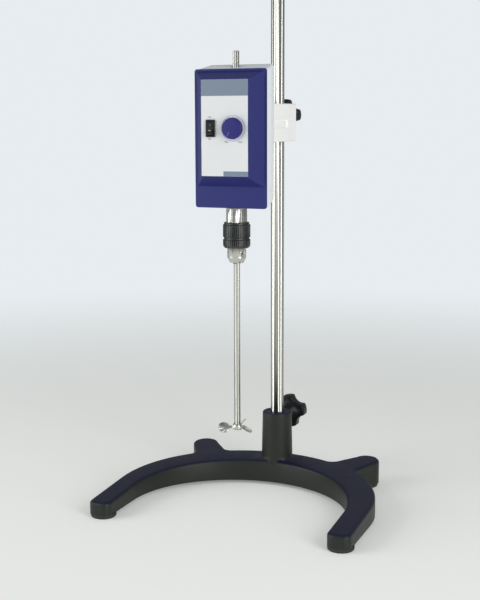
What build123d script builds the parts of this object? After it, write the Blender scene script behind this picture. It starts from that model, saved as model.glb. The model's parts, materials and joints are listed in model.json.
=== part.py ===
from build123d import *
import os
from math import acos, asin, cos, pi, radians, sin, sqrt, tan

# Overhead stirrer for a laboratory bench: a speed-controlled stirring motor in a blue and white
# housing, clamped to a stainless pole that stands in a cast horseshoe base.
# Millimetres. +Z is up, the control panel faces -Y, and the bench is the plane z = 0.
# The origin is on the bench, in the middle of the whole object's footprint.

# Pole and where the head stands on it
POLE_D = 16.0
POLE_LENGTH = 700.0
POLE_FLOOR = 12.0
POLE_END_CHAMFER = 1.0
POLE_FIT = 0.05
SHAFT_TO_POLE = 131.0
HEAD_BOTTOM = 353.0

# Base casting
FOOT_HEIGHT = 4.5
BASE_TOP = 32.0
BASE_TOP_SLOPE = 3.4
BASE_EDGE_ROUND = 4.0
RING_CENTRE = 152.2
RING_OUTER_R = 171.2
RING_OUTER_TURN = 33.5
LEG_OUTER_INSET = 16.2
RING_WIDTH = 38.4
RING_INNER_TURN = 45.5
LEG_INNER_INSET = 4.6
LEG_END = 205.0
LEG_END_ROUND = 9.0
FRONT_FOOT_Y = 190.8
LOBE_REACH = 36.21
LOBE_BEARING = 31.314
LOBE_R = 16.0
LOBE_AXIS_ANGLE = 57.0
LOBE_FLARE = 7.0
LOBE_LENGTH = 70.0
LOBE_BLEND = 11.0
BOSS_TOP = 91.0
BOSS_TOP_D = 35.8
BOSS_TAPER = 1.3
BOSS_EDGE_ROUND = 2.0

# Rubber feet and their screws
FOOT_D = 29.0
FOOT_EDGE = 1.2
FOOT_SCREW_D = 5.0
FOOT_SCREW_HEAD_D = 9.0
FOOT_SCREW_HEAD_H = 2.0
FOOT_SCREW_RECESS = 1.0
FOOT_SCREW_GRIP = 9.0

# Locking screws: the one in the base boss and the one in the pole clamp
STUD_D = 8.0
STUD_FIT = 0.05
PAD_LENGTH = 3.0
PAD_GAP = 0.05
BASE_LOCK_Z = 79.6
BASE_KNOB_R = 20.5
BASE_KNOB_START = 43.0
BASE_KNOB_THICK = 14.0
BASE_KNOB_HUB = 11.0
BASE_KNOB_TURN = -9.0
CLAMP_KNOB_R = 18.8
CLAMP_KNOB_START = 22.0
CLAMP_KNOB_THICK = 12.0
CLAMP_KNOB_HUB = 3.0
CLAMP_KNOB_TURN = 0.0
KNOB_HUB_D = 17.0
KNOB_LOBES = 4
KNOB_NOTCH_DEPTH = 0.27
KNOB_NOTCH_R = 0.54
KNOB_CORNER_ROUND = 3.0
KNOB_EDGE_ROUND = 2.5
KNOB_SOCKET = 8.0

# Pole clamp behind the head
CLAMP_HALF_WIDTH = 17.6
CLAMP_HEIGHT = 44.0
CLAMP_BOTTOM = 69.4
CLAMP_BLOCK_FRONT = 12.5
CLAMP_BLOCK_BACK = 17.0
CLAMP_LOCK_RISE = 31.0
CLAMP_EDGE_ROUND = 1.5
BUSH_OUTER_D = 20.0
BUSH_RUNNING_FIT = 0.06
UPPER_BUSH_LENGTH = 7.0
LOWER_BUSH_LENGTH = 20.0
CLAMP_BORE_CLEARANCE = 0.8
ARM_GROOVE_HEIGHT = 9.6
ARM_GROOVE_RISE = 15.7
ARM_GROOVE_DEPTH = 1.2
CLAMP_SCREW_X = 13.0
CLAMP_SCREW_INSET = 6.0
CLAMP_SCREW_D = 4.0
CLAMP_SCREW_HEAD_D = 6.5
CLAMP_SCREW_HEAD_H = 4.0
CLAMP_SCREW_GRIP = 10.0
CLAMP_SCREW_SINK = 0.4
CLAMP_SCREW_SOCKET_R = 1.68
ARM_SCREW_X = 10.0
ARM_SCREW_INSET = 8.0
ARM_SCREW_D = 5.0
ARM_SCREW_HEAD_D = 9.0
ARM_SCREW_GRIP = 12.0

# Head housing: the blue front cover and the white casing behind it
WALL = 2.5
MOVING_GAP = 0.3
FRONT_WALL = 3.2
COVER_INSET = 3.0
RIM_HALF_WIDTH = 41.6
RIM_HEIGHT = 149.0
RIM_CORNER_R = 3.0
RIM_FORWARD = 17.0
RIM_THICK = 2.0
LIP = 2.4
LIP_REVEAL = 0.4
BAND_HEIGHT = 23.5
PLATEAU_FORWARD = 16.6
PLATEAU_HALF_WIDTH = 27.6
PLATEAU_BOTTOM = 34.5
PLATEAU_TOP = 138.0
PLATEAU_CORNER_R = 2.0
PLATEAU_EDGE_ROUND = 0.6
SIDE_STRAIGHT = 10.0
SIDE_DRAFT = 0.6
SHOULDER_BACK = 31.0
SHOULDER_HALF_WIDTH = 38.4
SHOULDER_RISE = 6.0
SHOULDER_TOP_RISE = 5.6
SHOULDER_CORNER_R = 4.5
TAIL_BACK = 73.0
TAIL_HALF_WIDTH = 22.0
TAIL_BOTTOM = 32.0
TAIL_TOP = 135.0
TAIL_CORNER_R = 4.0
ROOF_HOLE_D = 11.0
FLOOR_HOLE_D = 17.0
SHELL_POST_X = 34.0
SHELL_POST_LOW = 33.0
SHELL_POST_HIGH = 136.0
SHELL_POST_D = 8.0
SHELL_SCREW_D = 3.0
SHELL_SCREW_HEAD_D = 5.6
SHELL_SCREW_HEAD_H = 2.6
SHELL_SCREW_GRIP = 4.0
SHELL_SEAT_DEPTH = 14.0

# Control panel, speed knob and mains switch
PANEL_MARGIN = 0.8
PANEL_THICK = 1.2
KNOB_X = 10.0
CONTROL_RISE = 86.0
SPEED_KNOB_D = 22.6
SPEED_KNOB_H = 6.0
SPEED_KNOB_GAP = 0.4
SPEED_KNOB_FLUTES = 24
SPEED_KNOB_FLUTE_R = 0.7
POT_SHAFT_D = 6.0
POT_BUSH_D = 7.0
POT_BODY_D = 16.0
POT_BODY_H = 7.0
POT_NUT_D = 10.0
POT_NUT_H = 2.0
SWITCH_X = -15.8
SWITCH_WIDTH = 10.6
SWITCH_HEIGHT = 18.4
SWITCH_BEZEL = 1.8
SWITCH_NECK = 0.9
SWITCH_DEPTH = 12.0
ROCKER_R = 7.4
ROCKER_WIDTH = 6.8
ROCKER_TILT = 12.0
ROCKER_END_HEIGHT = 3.6
ROCKER_DISH = 1.4
ROCKER_BACK = 3.0
ROCKER_PIN_D = 2.0
BOARD_HALF_WIDTH = 23.0
BOARD_LOW = 60.0
BOARD_HIGH = 126.0
BOARD_THICK = 1.6
BOARD_BEHIND_PANEL = 13.6
BOARD_POST_D = 5.0
BOARD_POST_INSET = 4.0
BOARD_SCREW_D = 2.0
BOARD_SCREW_HEAD_D = 3.8
BOARD_SCREW_HEAD_H = 1.6
CAPACITOR_D = 10.0
CAPACITOR_H = 14.0
CAPACITOR_X = 13.0
CAPACITOR_RISES = (74.0, 88.0)
HEAT_SINK_X = -13.5
HEAT_SINK_RISE = 106.0
HEAT_SINK_WIDTH = 14.0
HEAT_SINK_HEIGHT = 24.0
HEAT_SINK_DEPTH = 10.0
HEAT_SINK_FINS = 4

# Bearing frame, gears and motor
FRAME_PLATE = 3.0
FRAME_HALF_WIDTH = 18.5
FRAME_NOSE_R = 14.5
LOWER_SHELF = 17.0
LOWER_SHELF_THICK = 8.0
UPPER_SHELF = 49.0
UPPER_SHELF_THICK = 8.0
FRAME_TOP = 118.0
PILLAR_X = 24.0
PILLAR_BACK = 21.0
PILLAR_D = 7.0
PILLAR_SPIGOT_D = 4.0
PILLAR_EAR_R = 5.0
BEARING_D = 21.0
BEARING_WIDTH = 5.0
BEARING_SHOULDER_D = 17.0
BEARING_SHIELD_IN = 7.6
BEARING_SHIELD_OUT = 9.0
BEARING_SHIELD_DEPTH = 0.4
SPINDLE_D = 12.0
SPINDLE_BORE_D = 7.6
SPINDLE_TOP_D = 10.0
SPINDLE_STEP = 62.0
SPINDLE_TOP = 146.0
RUNNING_FIT = 0.05
GEAR_MODULE = 1.0
PRESSURE_ANGLE = 20.0
DEDENDUM = 1.25
FLANK_STEPS = 4
DRIVE_TEETH = 52
PINION_TEETH = 16
GEAR_FACE = 8.0
PINION_FACE = 12.0
GEAR_LOW = 35.0
GEAR_HUB_D = 22.0
GEAR_HUB_EXTRA = 3.0
GEAR_WINDOWS = 6
GEAR_WINDOW_D = 8.0
GEAR_WINDOW_RING_R = 17.5
GEAR_BACKLASH = 0.16
MOTOR_D = 36.0
MOTOR_LENGTH = 56.0
MOTOR_CAP_D = 30.0
MOTOR_CAP_H = 5.0
MOTOR_EDGE_ROUND = 1.5
MOTOR_PILOT_D = 12.0
MOTOR_PILOT_H = 3.0
MOTOR_SHAFT_D = 4.0
MOTOR_SHAFT_HOLD = 8.0
MOTOR_SHAFT_END = 1.5
MOTOR_SCREW_X = 12.5
MOTOR_SCREW_D = 3.0
MOTOR_SCREW_HEAD_D = 5.4
MOTOR_SCREW_HEAD_H = 2.4
MOTOR_SCREW_GRIP = 4.0

# Cable gland in the back of the casing
GLAND_RISE = 42.0
GLAND_D = 12.0
GLAND_HOLE_D = 9.0
GLAND_CABLE_D = 6.0
GLAND_OUT = 9.0
GLAND_NUT_D = 13.0
GLAND_NUT_H = 2.5
GLAND_INSIDE = 5.0
GLAND_ROUND = 2.0

# Drill chuck under the head
CHUCK_GAP = 0.8
CHUCK_BODY_D = 23.2
SLEEVE_D = 30.4
SLEEVE_TOP = 15.6
SLEEVE_BOTTOM = 44.0
SLEEVE_GROOVE = 33.3
SLEEVE_GROOVE_R = 0.8
SLEEVE_EDGE = 1.6
CHUCK_NOSE_D = 20.8
CHUCK_NOSE_END = 60.1
CHUCK_NOSE_TIP_D = 15.6
CHUCK_NOSE_TAPER = 5.4
CHUCK_EDGE = 1.0
SPINDLE_SOCKET = 12.0
SLEEVE_FIT = 0.06
SLEEVE_TEETH = 20
SLEEVE_TOOTH_DEPTH = 1.8
SLEEVE_RELIEF = 1.6
SLEEVE_RELIEF_TOP = 26.0
SLEEVE_RELIEF_BOTTOM = 40.6
NUT_DROP = 30.0
NUT_HEIGHT = 5.0
KEY_HOLE_D = 5.0
KEY_HOLE_DEPTH = 4.0
KEY_HOLE_DROP = 47.8
KEY_HOLE_FIRST_ANGLE = -30.0
JAW_COUNT = 3
JAW_D = 5.0
JAW_LENGTH = 24.0
JAW_ANGLE = 10.0
JAW_FIT = 0.06
JAW_TRAVEL = 3.0
JAW_PROUD = 1.2
JAW_GRIP_GAP = 0.02
JAW_TIP_AXIS_R = 4.7

# Stirring rod and propeller
ROD_D = 7.0
ROD_LENGTH = 420.0
ROD_END = 101.5
ROD_CHAMFER = 0.5
PROP_HUB_D = 10.0
PROP_HUB_H = 6.5
BLADE_COUNT = 3
BLADE_FIRST_ANGLE = -25.0
BLADE_D = 13.0
BLADE_CENTRE_R = 15.6
BLADE_THICK = 1.2
BLADE_NECK = 3.0
BLADE_PITCH = 45.0
BLADE_RISE = 2.6

# Places worked out from the sizes above
FRONT_REACH = max(LEG_END, FRONT_FOOT_Y + FOOT_D / 2)
BACK_REACH = BASE_KNOB_START + BASE_KNOB_THICK
RING_INNER_R = RING_OUTER_R - RING_WIDTH
LEG_OUTER_X = RING_OUTER_R - LEG_OUTER_INSET
LEG_INNER_X = RING_INNER_R - LEG_INNER_INSET
FRONT_FOOT_X = (LEG_OUTER_X + LEG_INNER_X) / 2
LOBE_X = (RING_OUTER_R + LOBE_REACH) * sin(radians(LOBE_BEARING))
LOBE_Y = (RING_OUTER_R + LOBE_REACH) * cos(radians(LOBE_BEARING)) - RING_CENTRE
POLE_Y = (FRONT_REACH - BACK_REACH) / 2
SHAFT_Y = POLE_Y - SHAFT_TO_POLE
POLE_R = POLE_D / 2
RIM_Y = SHAFT_Y - RIM_FORWARD
JOINT_Y = RIM_Y + RIM_THICK
PLATEAU_Y = RIM_Y - PLATEAU_FORWARD
TAIL_Y = POLE_Y - TAIL_BACK
RIM_TOP = HEAD_BOTTOM + RIM_HEIGHT
CLAMP_LOW = HEAD_BOTTOM + CLAMP_BOTTOM
CLAMP_HIGH = CLAMP_LOW + CLAMP_HEIGHT
CLAMP_LOCK_Z = CLAMP_LOW + CLAMP_LOCK_RISE
CONTROL_Z = HEAD_BOTTOM + CONTROL_RISE
MOTOR_Y = SHAFT_Y + GEAR_MODULE * (DRIVE_TEETH + PINION_TEETH) / 2
CHUCK_TOP = HEAD_BOTTOM - CHUCK_GAP
os.makedirs("parts", exist_ok=True)


def save(builder, name):
    """Label a finished piece and write its STEP file."""
    builder.part.label = name
    export_step(builder.part, "parts/" + name + ".step")


def level(z):
    """Horizontal plane at height z."""
    return Plane.XY.offset(z)


def upright(y):
    """Vertical plane at depth y: its x is +X, its y is +Z and it faces -Y."""
    return Plane.XZ.offset(-y)


def from_back(y):
    """Vertical plane at depth y that faces +Y: its x is -X and its y is +Z."""
    return Plane(origin=(0, y, 0), x_dir=(-1, 0, 0), z_dir=(0, 1, 0))


def horseshoe_side(turn_radius, turn_angle, straight_x):
    """Points of one half of a horseshoe outline, from its crown to its straight leg.

    A crown arc about the ring's centre runs tangentially into a tighter arc, which runs
    tangentially into a leg parallel to Y.
    """
    lean = radians(turn_angle)
    side_radius = (straight_x - turn_radius * sin(lean)) / (1 - sin(lean))
    middle_y = POLE_Y - RING_CENTRE
    crown = (0, middle_y + turn_radius)
    crown_mid = (turn_radius * sin(lean / 2), middle_y + turn_radius * cos(lean / 2))
    change = (turn_radius * sin(lean), middle_y + turn_radius * cos(lean))
    side_x = (turn_radius - side_radius) * sin(lean)
    side_y = middle_y + (turn_radius - side_radius) * cos(lean)
    half_way = lean / 2 + pi / 4
    side_mid = (side_x + side_radius * sin(half_way), side_y + side_radius * cos(half_way))
    leg_top = (straight_x, side_y)
    return crown, crown_mid, change, side_mid, leg_top


def flipped(point):
    """The same point on the other side of the stirrer's middle plane."""
    return (-point[0], point[1])


# Base casting: horseshoe with two straight legs, two rear lobes and a tall boss for the pole.
# Its top slopes down from the boss to the toes.
outer_side = horseshoe_side(RING_OUTER_R, RING_OUTER_TURN, LEG_OUTER_X)
inner_side = horseshoe_side(RING_INNER_R, RING_INNER_TURN, LEG_INNER_X)
leg_end_y = POLE_Y - LEG_END
lobe_angle = radians(LOBE_AXIS_ANGLE)
lobe_root_r = LOBE_R + LOBE_LENGTH * sin(radians(LOBE_FLARE))
lobe_root = (LOBE_X - LOBE_LENGTH * cos(lobe_angle), POLE_Y + LOBE_Y - LOBE_LENGTH * sin(lobe_angle))
lobe_tip = (LOBE_X, POLE_Y + LOBE_Y)


def lobe_outline(side):
    """Closed outline of one rear lobe: a round end that widens towards the ring."""
    across = asin((lobe_root_r - LOBE_R) / LOBE_LENGTH)
    left = lobe_angle + pi / 2 + across
    right = lobe_angle - pi / 2 - across
    tip = []
    root = []
    for turn in (left, right):
        tip.append((side * (lobe_tip[0] + LOBE_R * cos(turn)), lobe_tip[1] + LOBE_R * sin(turn)))
        root.append((side * (lobe_root[0] + lobe_root_r * cos(turn)), lobe_root[1] + lobe_root_r * sin(turn)))
    crest = (side * (lobe_tip[0] + LOBE_R * cos(lobe_angle)), lobe_tip[1] + LOBE_R * sin(lobe_angle))
    return root[0], tip[0], crest, tip[1], root[1]


with BuildSketch(level(FOOT_HEIGHT)) as base_outline:
    with BuildLine():
        crown, crown_mid, change, side_mid, leg_top = outer_side
        ThreePointArc(crown, crown_mid, change)
        ThreePointArc(change, side_mid, leg_top)
        Polyline(leg_top, (LEG_OUTER_X, leg_end_y), (LEG_INNER_X, leg_end_y), inner_side[4])
        ThreePointArc(inner_side[4], inner_side[3], inner_side[2])
        ThreePointArc(inner_side[2], inner_side[1], inner_side[0])
        ThreePointArc(inner_side[0], flipped(inner_side[1]), flipped(inner_side[2]))
        ThreePointArc(flipped(inner_side[2]), flipped(inner_side[3]), flipped(inner_side[4]))
        Polyline(flipped(inner_side[4]), (-LEG_INNER_X, leg_end_y), (-LEG_OUTER_X, leg_end_y), flipped(leg_top))
        ThreePointArc(flipped(leg_top), flipped(side_mid), flipped(change))
        ThreePointArc(flipped(change), flipped(crown_mid), crown)
    make_face()
    fillet(base_outline.vertices().group_by(Axis.Y)[0], radius=LEG_END_ROUND)
    for side in (-1, 1):
        with BuildLine():
            root_a, tip_a, crest, tip_b, root_b = lobe_outline(side)
            Line(root_a, tip_a)
            ThreePointArc(tip_a, crest, tip_b)
            Line(tip_b, root_b)
            Line(root_b, root_a)
        make_face()
    with BuildLine():
        ThreePointArc(flipped(inner_side[4]), flipped(inner_side[3]), flipped(inner_side[2]))
        ThreePointArc(flipped(inner_side[2]), inner_side[0], inner_side[2])
        ThreePointArc(inner_side[2], inner_side[3], inner_side[4])
        Line(inner_side[4], flipped(inner_side[4]))
    make_face(mode=Mode.SUBTRACT)

    junctions = []
    for vertex in base_outline.vertices():
        if abs(vertex.X) > LOBE_R and vertex.Y > POLE_Y - RING_CENTRE / 2:
            on_ring = abs(sqrt(vertex.X**2 + (vertex.Y - POLE_Y + RING_CENTRE) ** 2) - RING_OUTER_R) < LOBE_BLEND / 3
            if on_ring:
                junctions.append(vertex)
    fillet(junctions, radius=LOBE_BLEND)

slope = radians(BASE_TOP_SLOPE)
base_top_plane = Plane(origin=(0, POLE_Y, BASE_TOP), x_dir=(1, 0, 0), z_dir=(0, -sin(slope), cos(slope)))
feet = []
for side in (-1, 1):
    feet.append((side * FRONT_FOOT_X, POLE_Y - FRONT_FOOT_Y))
    feet.append((side * LOBE_X, POLE_Y + LOBE_Y))
boss_top_r = BOSS_TOP_D / 2
boss_foot_z = BASE_TOP - BASE_EDGE_ROUND
boss_foot_r = boss_top_r + (BOSS_TOP - boss_foot_z) * tan(radians(BOSS_TAPER))

with BuildPart() as base_casting:
    add(base_outline.sketch)
    extrude(amount=BASE_TOP + LOBE_R)
    split(bisect_by=base_top_plane, keep=Keep.BOTTOM)
    top_face = base_casting.faces().sort_by(lambda face: base_top_plane.to_local_coords(face.center()).Z)[-1]
    fillet(top_face.edges(), radius=BASE_EDGE_ROUND)
    with BuildSketch(level(boss_foot_z)):
        with Locations((0, POLE_Y)):
            Circle(boss_foot_r)
    extrude(amount=BOSS_TOP - boss_foot_z, taper=BOSS_TAPER)
    boss_rim = base_casting.edges().filter_by(GeomType.CIRCLE).sort_by(Axis.Z)[-1]
    fillet(boss_rim, radius=BOSS_EDGE_ROUND)
    with BuildSketch(level(BOSS_TOP)):
        with Locations((0, POLE_Y)):
            Circle(POLE_R + POLE_FIT)
    extrude(amount=POLE_FLOOR - BOSS_TOP, mode=Mode.SUBTRACT)
    with BuildSketch(from_back(POLE_Y)):
        with Locations((0, BASE_LOCK_Z)):
            Circle(STUD_D / 2 + STUD_FIT)
    extrude(amount=2 * boss_foot_r, mode=Mode.SUBTRACT)
    with BuildSketch(level(FOOT_HEIGHT)):
        with Locations(*feet):
            Circle(FOOT_SCREW_D / 2)
    extrude(amount=FOOT_SCREW_GRIP, mode=Mode.SUBTRACT)
save(base_casting, "base_casting")

# Pole: a plain stainless rod that stands on the floor of the boss bore.
with BuildPart() as support_pole:
    with BuildSketch(level(POLE_FLOOR)):
        with Locations((0, POLE_Y)):
            Circle(POLE_R)
    extrude(amount=POLE_LENGTH)
    chamfer(support_pole.edges().filter_by(GeomType.CIRCLE), length=POLE_END_CHAMFER)
save(support_pole, "support_pole")

# Rubber feet, one under each leg and lobe, each held by a screw sunk into it from below.
foot_names = ("front_left", "rear_left", "front_right", "rear_right")
head_top = FOOT_SCREW_RECESS + FOOT_SCREW_HEAD_H
for place, foot_name in zip(feet, foot_names):
    with BuildPart() as rubber_foot:
        with BuildSketch(level(0)):
            with Locations(place):
                Circle(FOOT_D / 2)
        extrude(amount=FOOT_HEIGHT)
        chamfer(rubber_foot.edges().group_by(Axis.Z)[0], length=FOOT_EDGE)
        with BuildSketch(level(0)):
            with Locations(place):
                Circle(FOOT_SCREW_HEAD_D / 2)
        extrude(amount=head_top, mode=Mode.SUBTRACT)
        with BuildSketch(level(0)):
            with Locations(place):
                Circle(FOOT_SCREW_D / 2)
        extrude(amount=FOOT_HEIGHT, mode=Mode.SUBTRACT)
    save(rubber_foot, "rubber_foot_" + foot_name)

with BuildPart() as foot_screws:
    with BuildSketch(level(FOOT_SCREW_RECESS)):
        with Locations(*feet):
            Circle(FOOT_SCREW_HEAD_D / 2)
    extrude(amount=FOOT_SCREW_HEAD_H)
    with BuildSketch(level(head_top)):
        with Locations(*feet):
            Circle(FOOT_SCREW_D / 2)
    extrude(amount=FOOT_HEIGHT + FOOT_SCREW_GRIP - head_top)
save(foot_screws, "foot_screws")


# Locking screws: a brass pad that bears on the pole, a steel stud behind it and a lobed knob
# moulded round the stud's end. All three lie on a line that runs back from the pole.
def locking_screw(name, height, knob_r, knob_start, knob_thick, hub_length, turn):
    """Make the pad, stud and star knob of one locking screw."""
    pad_y = POLE_Y + POLE_R + PAD_GAP
    stud_y = pad_y + PAD_LENGTH
    knob_y = POLE_Y + knob_start
    stud_end = knob_y + KNOB_SOCKET
    with BuildPart() as pad:
        with BuildSketch(from_back(pad_y)):
            with Locations((0, height)):
                Circle(STUD_D / 2)
        extrude(amount=PAD_LENGTH)
    save(pad, name + "_thrust_pad")
    with BuildPart() as stud:
        with BuildSketch(from_back(stud_y)):
            with Locations((0, height)):
                Circle(STUD_D / 2)
        extrude(amount=stud_end - stud_y)
    save(stud, name + "_lock_stud")
    with BuildPart() as knob:
        with BuildSketch(from_back(knob_y)) as star:
            with Locations((0, height)):
                Circle(knob_r)
                notch_centre = knob_r * (1 - KNOB_NOTCH_DEPTH + KNOB_NOTCH_R)
                with PolarLocations(notch_centre, KNOB_LOBES, start_angle=turn + 180 / KNOB_LOBES):
                    Circle(knob_r * KNOB_NOTCH_R, mode=Mode.SUBTRACT)
            fillet(star.vertices(), radius=KNOB_CORNER_ROUND)
        extrude(amount=knob_thick)
        ends = knob.faces().filter_by(Axis.Y)
        fillet(ends.edges(), radius=KNOB_EDGE_ROUND)
        with BuildSketch(from_back(knob_y - hub_length)):
            with Locations((0, height)):
                Circle(KNOB_HUB_D / 2)
        extrude(amount=hub_length + KNOB_EDGE_ROUND)
        with BuildSketch(from_back(knob_y - hub_length)):
            with Locations((0, height)):
                Circle(STUD_D / 2)
        extrude(amount=hub_length + KNOB_SOCKET, mode=Mode.SUBTRACT)
    save(knob, name + "_lock_knob")


locking_screw("base", BASE_LOCK_Z, BASE_KNOB_R, BASE_KNOB_START, BASE_KNOB_THICK, BASE_KNOB_HUB, BASE_KNOB_TURN)
locking_screw(
    "clamp", CLAMP_LOCK_Z, CLAMP_KNOB_R, CLAMP_KNOB_START, CLAMP_KNOB_THICK, CLAMP_KNOB_HUB, CLAMP_KNOB_TURN
)

# Pole clamp: a grooved arm from the back of the head, and a block bolted to its end that is
# bored for the pole. Two plastic bushes in the block slide on the pole.
arm_end_y = POLE_Y - CLAMP_BLOCK_FRONT
block_back_y = POLE_Y + CLAMP_BLOCK_BACK
arm_screw_spots = []
clamp_screw_spots = []
for side in (-1, 1):
    for edge_z, step in ((CLAMP_LOW, 1), (CLAMP_HIGH, -1)):
        arm_screw_spots.append((side * ARM_SCREW_X, edge_z + step * ARM_SCREW_INSET))
        clamp_screw_spots.append((side * CLAMP_SCREW_X, edge_z + step * CLAMP_SCREW_INSET))

with BuildPart() as clamp_arm:
    with BuildSketch(from_back(TAIL_Y)) as arm_section:
        with Locations((0, (CLAMP_LOW + CLAMP_HIGH) / 2)):
            Rectangle(2 * CLAMP_HALF_WIDTH, CLAMP_HEIGHT)
        fillet(arm_section.vertices(), radius=CLAMP_EDGE_ROUND)
        for side in (-1, 1):
            with Locations((side * CLAMP_HALF_WIDTH, CLAMP_LOW + ARM_GROOVE_RISE + ARM_GROOVE_HEIGHT / 2)):
                Rectangle(2 * ARM_GROOVE_DEPTH, ARM_GROOVE_HEIGHT, mode=Mode.SUBTRACT)
    extrude(amount=arm_end_y - TAIL_Y)
    with BuildSketch(from_back(TAIL_Y)):
        with Locations(*arm_screw_spots):
            Circle(ARM_SCREW_D / 2)
    extrude(amount=ARM_SCREW_GRIP, mode=Mode.SUBTRACT)
    with BuildSketch(from_back(arm_end_y)):
        with Locations(*clamp_screw_spots):
            Circle(CLAMP_SCREW_D / 2)
    extrude(amount=-CLAMP_SCREW_GRIP, mode=Mode.SUBTRACT)
save(clamp_arm, "clamp_arm")

block_bore_r = BUSH_OUTER_D / 2 + BUSH_RUNNING_FIT
with BuildPart() as clamp_block:
    with BuildSketch(from_back(arm_end_y)) as block_section:
        with Locations((0, (CLAMP_LOW + CLAMP_HIGH) / 2)):
            Rectangle(2 * CLAMP_HALF_WIDTH, CLAMP_HEIGHT)
        fillet(block_section.vertices(), radius=CLAMP_EDGE_ROUND)
    extrude(amount=block_back_y - arm_end_y)
    fillet(clamp_block.faces().sort_by(Axis.Y)[-1].edges(), radius=CLAMP_EDGE_ROUND / 2)
    with BuildSketch(level(CLAMP_LOW)):
        with Locations((0, POLE_Y)):
            Circle(POLE_R + CLAMP_BORE_CLEARANCE)
    extrude(amount=CLAMP_HEIGHT, mode=Mode.SUBTRACT)
    with BuildSketch(level(CLAMP_LOW)):
        with Locations((0, POLE_Y)):
            Circle(block_bore_r)
    extrude(amount=LOWER_BUSH_LENGTH + BUSH_RUNNING_FIT, mode=Mode.SUBTRACT)
    with BuildSketch(level(CLAMP_HIGH)):
        with Locations((0, POLE_Y)):
            Circle(block_bore_r)
    extrude(amount=-UPPER_BUSH_LENGTH - BUSH_RUNNING_FIT, mode=Mode.SUBTRACT)
    with BuildSketch(from_back(POLE_Y)):
        with Locations((0, CLAMP_LOCK_Z)):
            Circle(STUD_D / 2 + STUD_FIT)
    extrude(amount=CLAMP_BLOCK_BACK, mode=Mode.SUBTRACT)
    with BuildSketch(from_back(arm_end_y)):
        with Locations(*clamp_screw_spots):
            Circle(CLAMP_SCREW_D / 2)
    extrude(amount=block_back_y - arm_end_y, mode=Mode.SUBTRACT)
    with BuildSketch(from_back(block_back_y)):
        with Locations(*clamp_screw_spots):
            Circle(CLAMP_SCREW_HEAD_D / 2)
    extrude(amount=-CLAMP_SCREW_HEAD_H - CLAMP_SCREW_SINK, mode=Mode.SUBTRACT)
save(clamp_block, "clamp_block")

for name, start, length in (
    ("lower_clamp_bush", CLAMP_LOW, LOWER_BUSH_LENGTH),
    ("upper_clamp_bush", CLAMP_HIGH, -UPPER_BUSH_LENGTH),
):
    with BuildPart() as bush:
        with BuildSketch(level(start)):
            with Locations((0, POLE_Y)):
                Circle(BUSH_OUTER_D / 2)
                Circle(POLE_R + POLE_FIT, mode=Mode.SUBTRACT)
        extrude(amount=length)
    save(bush, name)

screw_seat_y = block_back_y - CLAMP_SCREW_SINK - CLAMP_SCREW_HEAD_H
with BuildPart() as clamp_screws:
    with BuildSketch(from_back(screw_seat_y)):
        with Locations(*clamp_screw_spots):
            Circle(CLAMP_SCREW_HEAD_D / 2)
            RegularPolygon(CLAMP_SCREW_SOCKET_R, 6, mode=Mode.SUBTRACT)
    extrude(amount=CLAMP_SCREW_HEAD_H)
    with BuildSketch(from_back(screw_seat_y + CLAMP_SCREW_HEAD_H / 2)):
        with Locations(*clamp_screw_spots):
            Circle(CLAMP_SCREW_D / 2)
    extrude(amount=arm_end_y - CLAMP_SCREW_GRIP - screw_seat_y - CLAMP_SCREW_HEAD_H / 2)
save(clamp_screws, "clamp_screws")


# Head casing: a white shell in rounded-rectangle sections. It leaves the front cover almost
# straight, swells a little at the roof up to its shoulder, and tapers from there to a small tail.
def casing_size(y):
    """Half width, bottom, top and corner radius of the casing's outside at depth y."""
    stations = (
        (JOINT_Y, RIM_HALF_WIDTH - LIP_REVEAL, HEAD_BOTTOM + LIP_REVEAL, RIM_TOP - LIP_REVEAL, RIM_CORNER_R),
        (
            JOINT_Y + SIDE_STRAIGHT,
            RIM_HALF_WIDTH - LIP_REVEAL - SIDE_DRAFT,
            HEAD_BOTTOM + LIP_REVEAL + SIDE_DRAFT,
            RIM_TOP - LIP_REVEAL + SHOULDER_TOP_RISE * SIDE_STRAIGHT / SHOULDER_BACK,
            RIM_CORNER_R,
        ),
        (
            RIM_Y + SHOULDER_BACK,
            SHOULDER_HALF_WIDTH,
            HEAD_BOTTOM + SHOULDER_RISE,
            RIM_TOP + SHOULDER_TOP_RISE,
            SHOULDER_CORNER_R,
        ),
        (TAIL_Y, TAIL_HALF_WIDTH, HEAD_BOTTOM + TAIL_BOTTOM, HEAD_BOTTOM + TAIL_TOP, TAIL_CORNER_R),
    )
    for near, far in zip(stations, stations[1:]):
        if y <= far[0] or far is stations[-1]:
            share = (y - near[0]) / (far[0] - near[0])
            return tuple(a + share * (b - a) for a, b in zip(near[1:], far[1:]))


def casing_section(y, inset):
    """Sketch of the casing's outline at depth y, drawn in from its outside by inset."""
    half, low, high, corner = casing_size(y)
    with BuildSketch(upright(y)) as section:
        with Locations((0, (low + high) / 2)):
            RectangleRounded(2 * (half - inset), high - low - 2 * inset, max(corner - inset, 1))
    return section.sketch


station_ys = (JOINT_Y, JOINT_Y + SIDE_STRAIGHT, RIM_Y + SHOULDER_BACK, TAIL_Y)
with BuildPart() as casing_form:
    loft([casing_section(y, 0) for y in station_ys], ruled=True)

with BuildPart() as casing_hollow:
    inner_ys = station_ys[:3] + (TAIL_Y - WALL,)
    loft([casing_section(y, WALL) for y in inner_ys], ruled=True)

shell_posts = []
for side in (-1, 1):
    for rise in (SHELL_POST_LOW, SHELL_POST_HIGH):
        shell_posts.append((side * SHELL_POST_X, HEAD_BOTTOM + rise))
shell_seat_y = JOINT_Y + SHELL_SEAT_DEPTH
gland_z = HEAD_BOTTOM + GLAND_RISE

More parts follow.
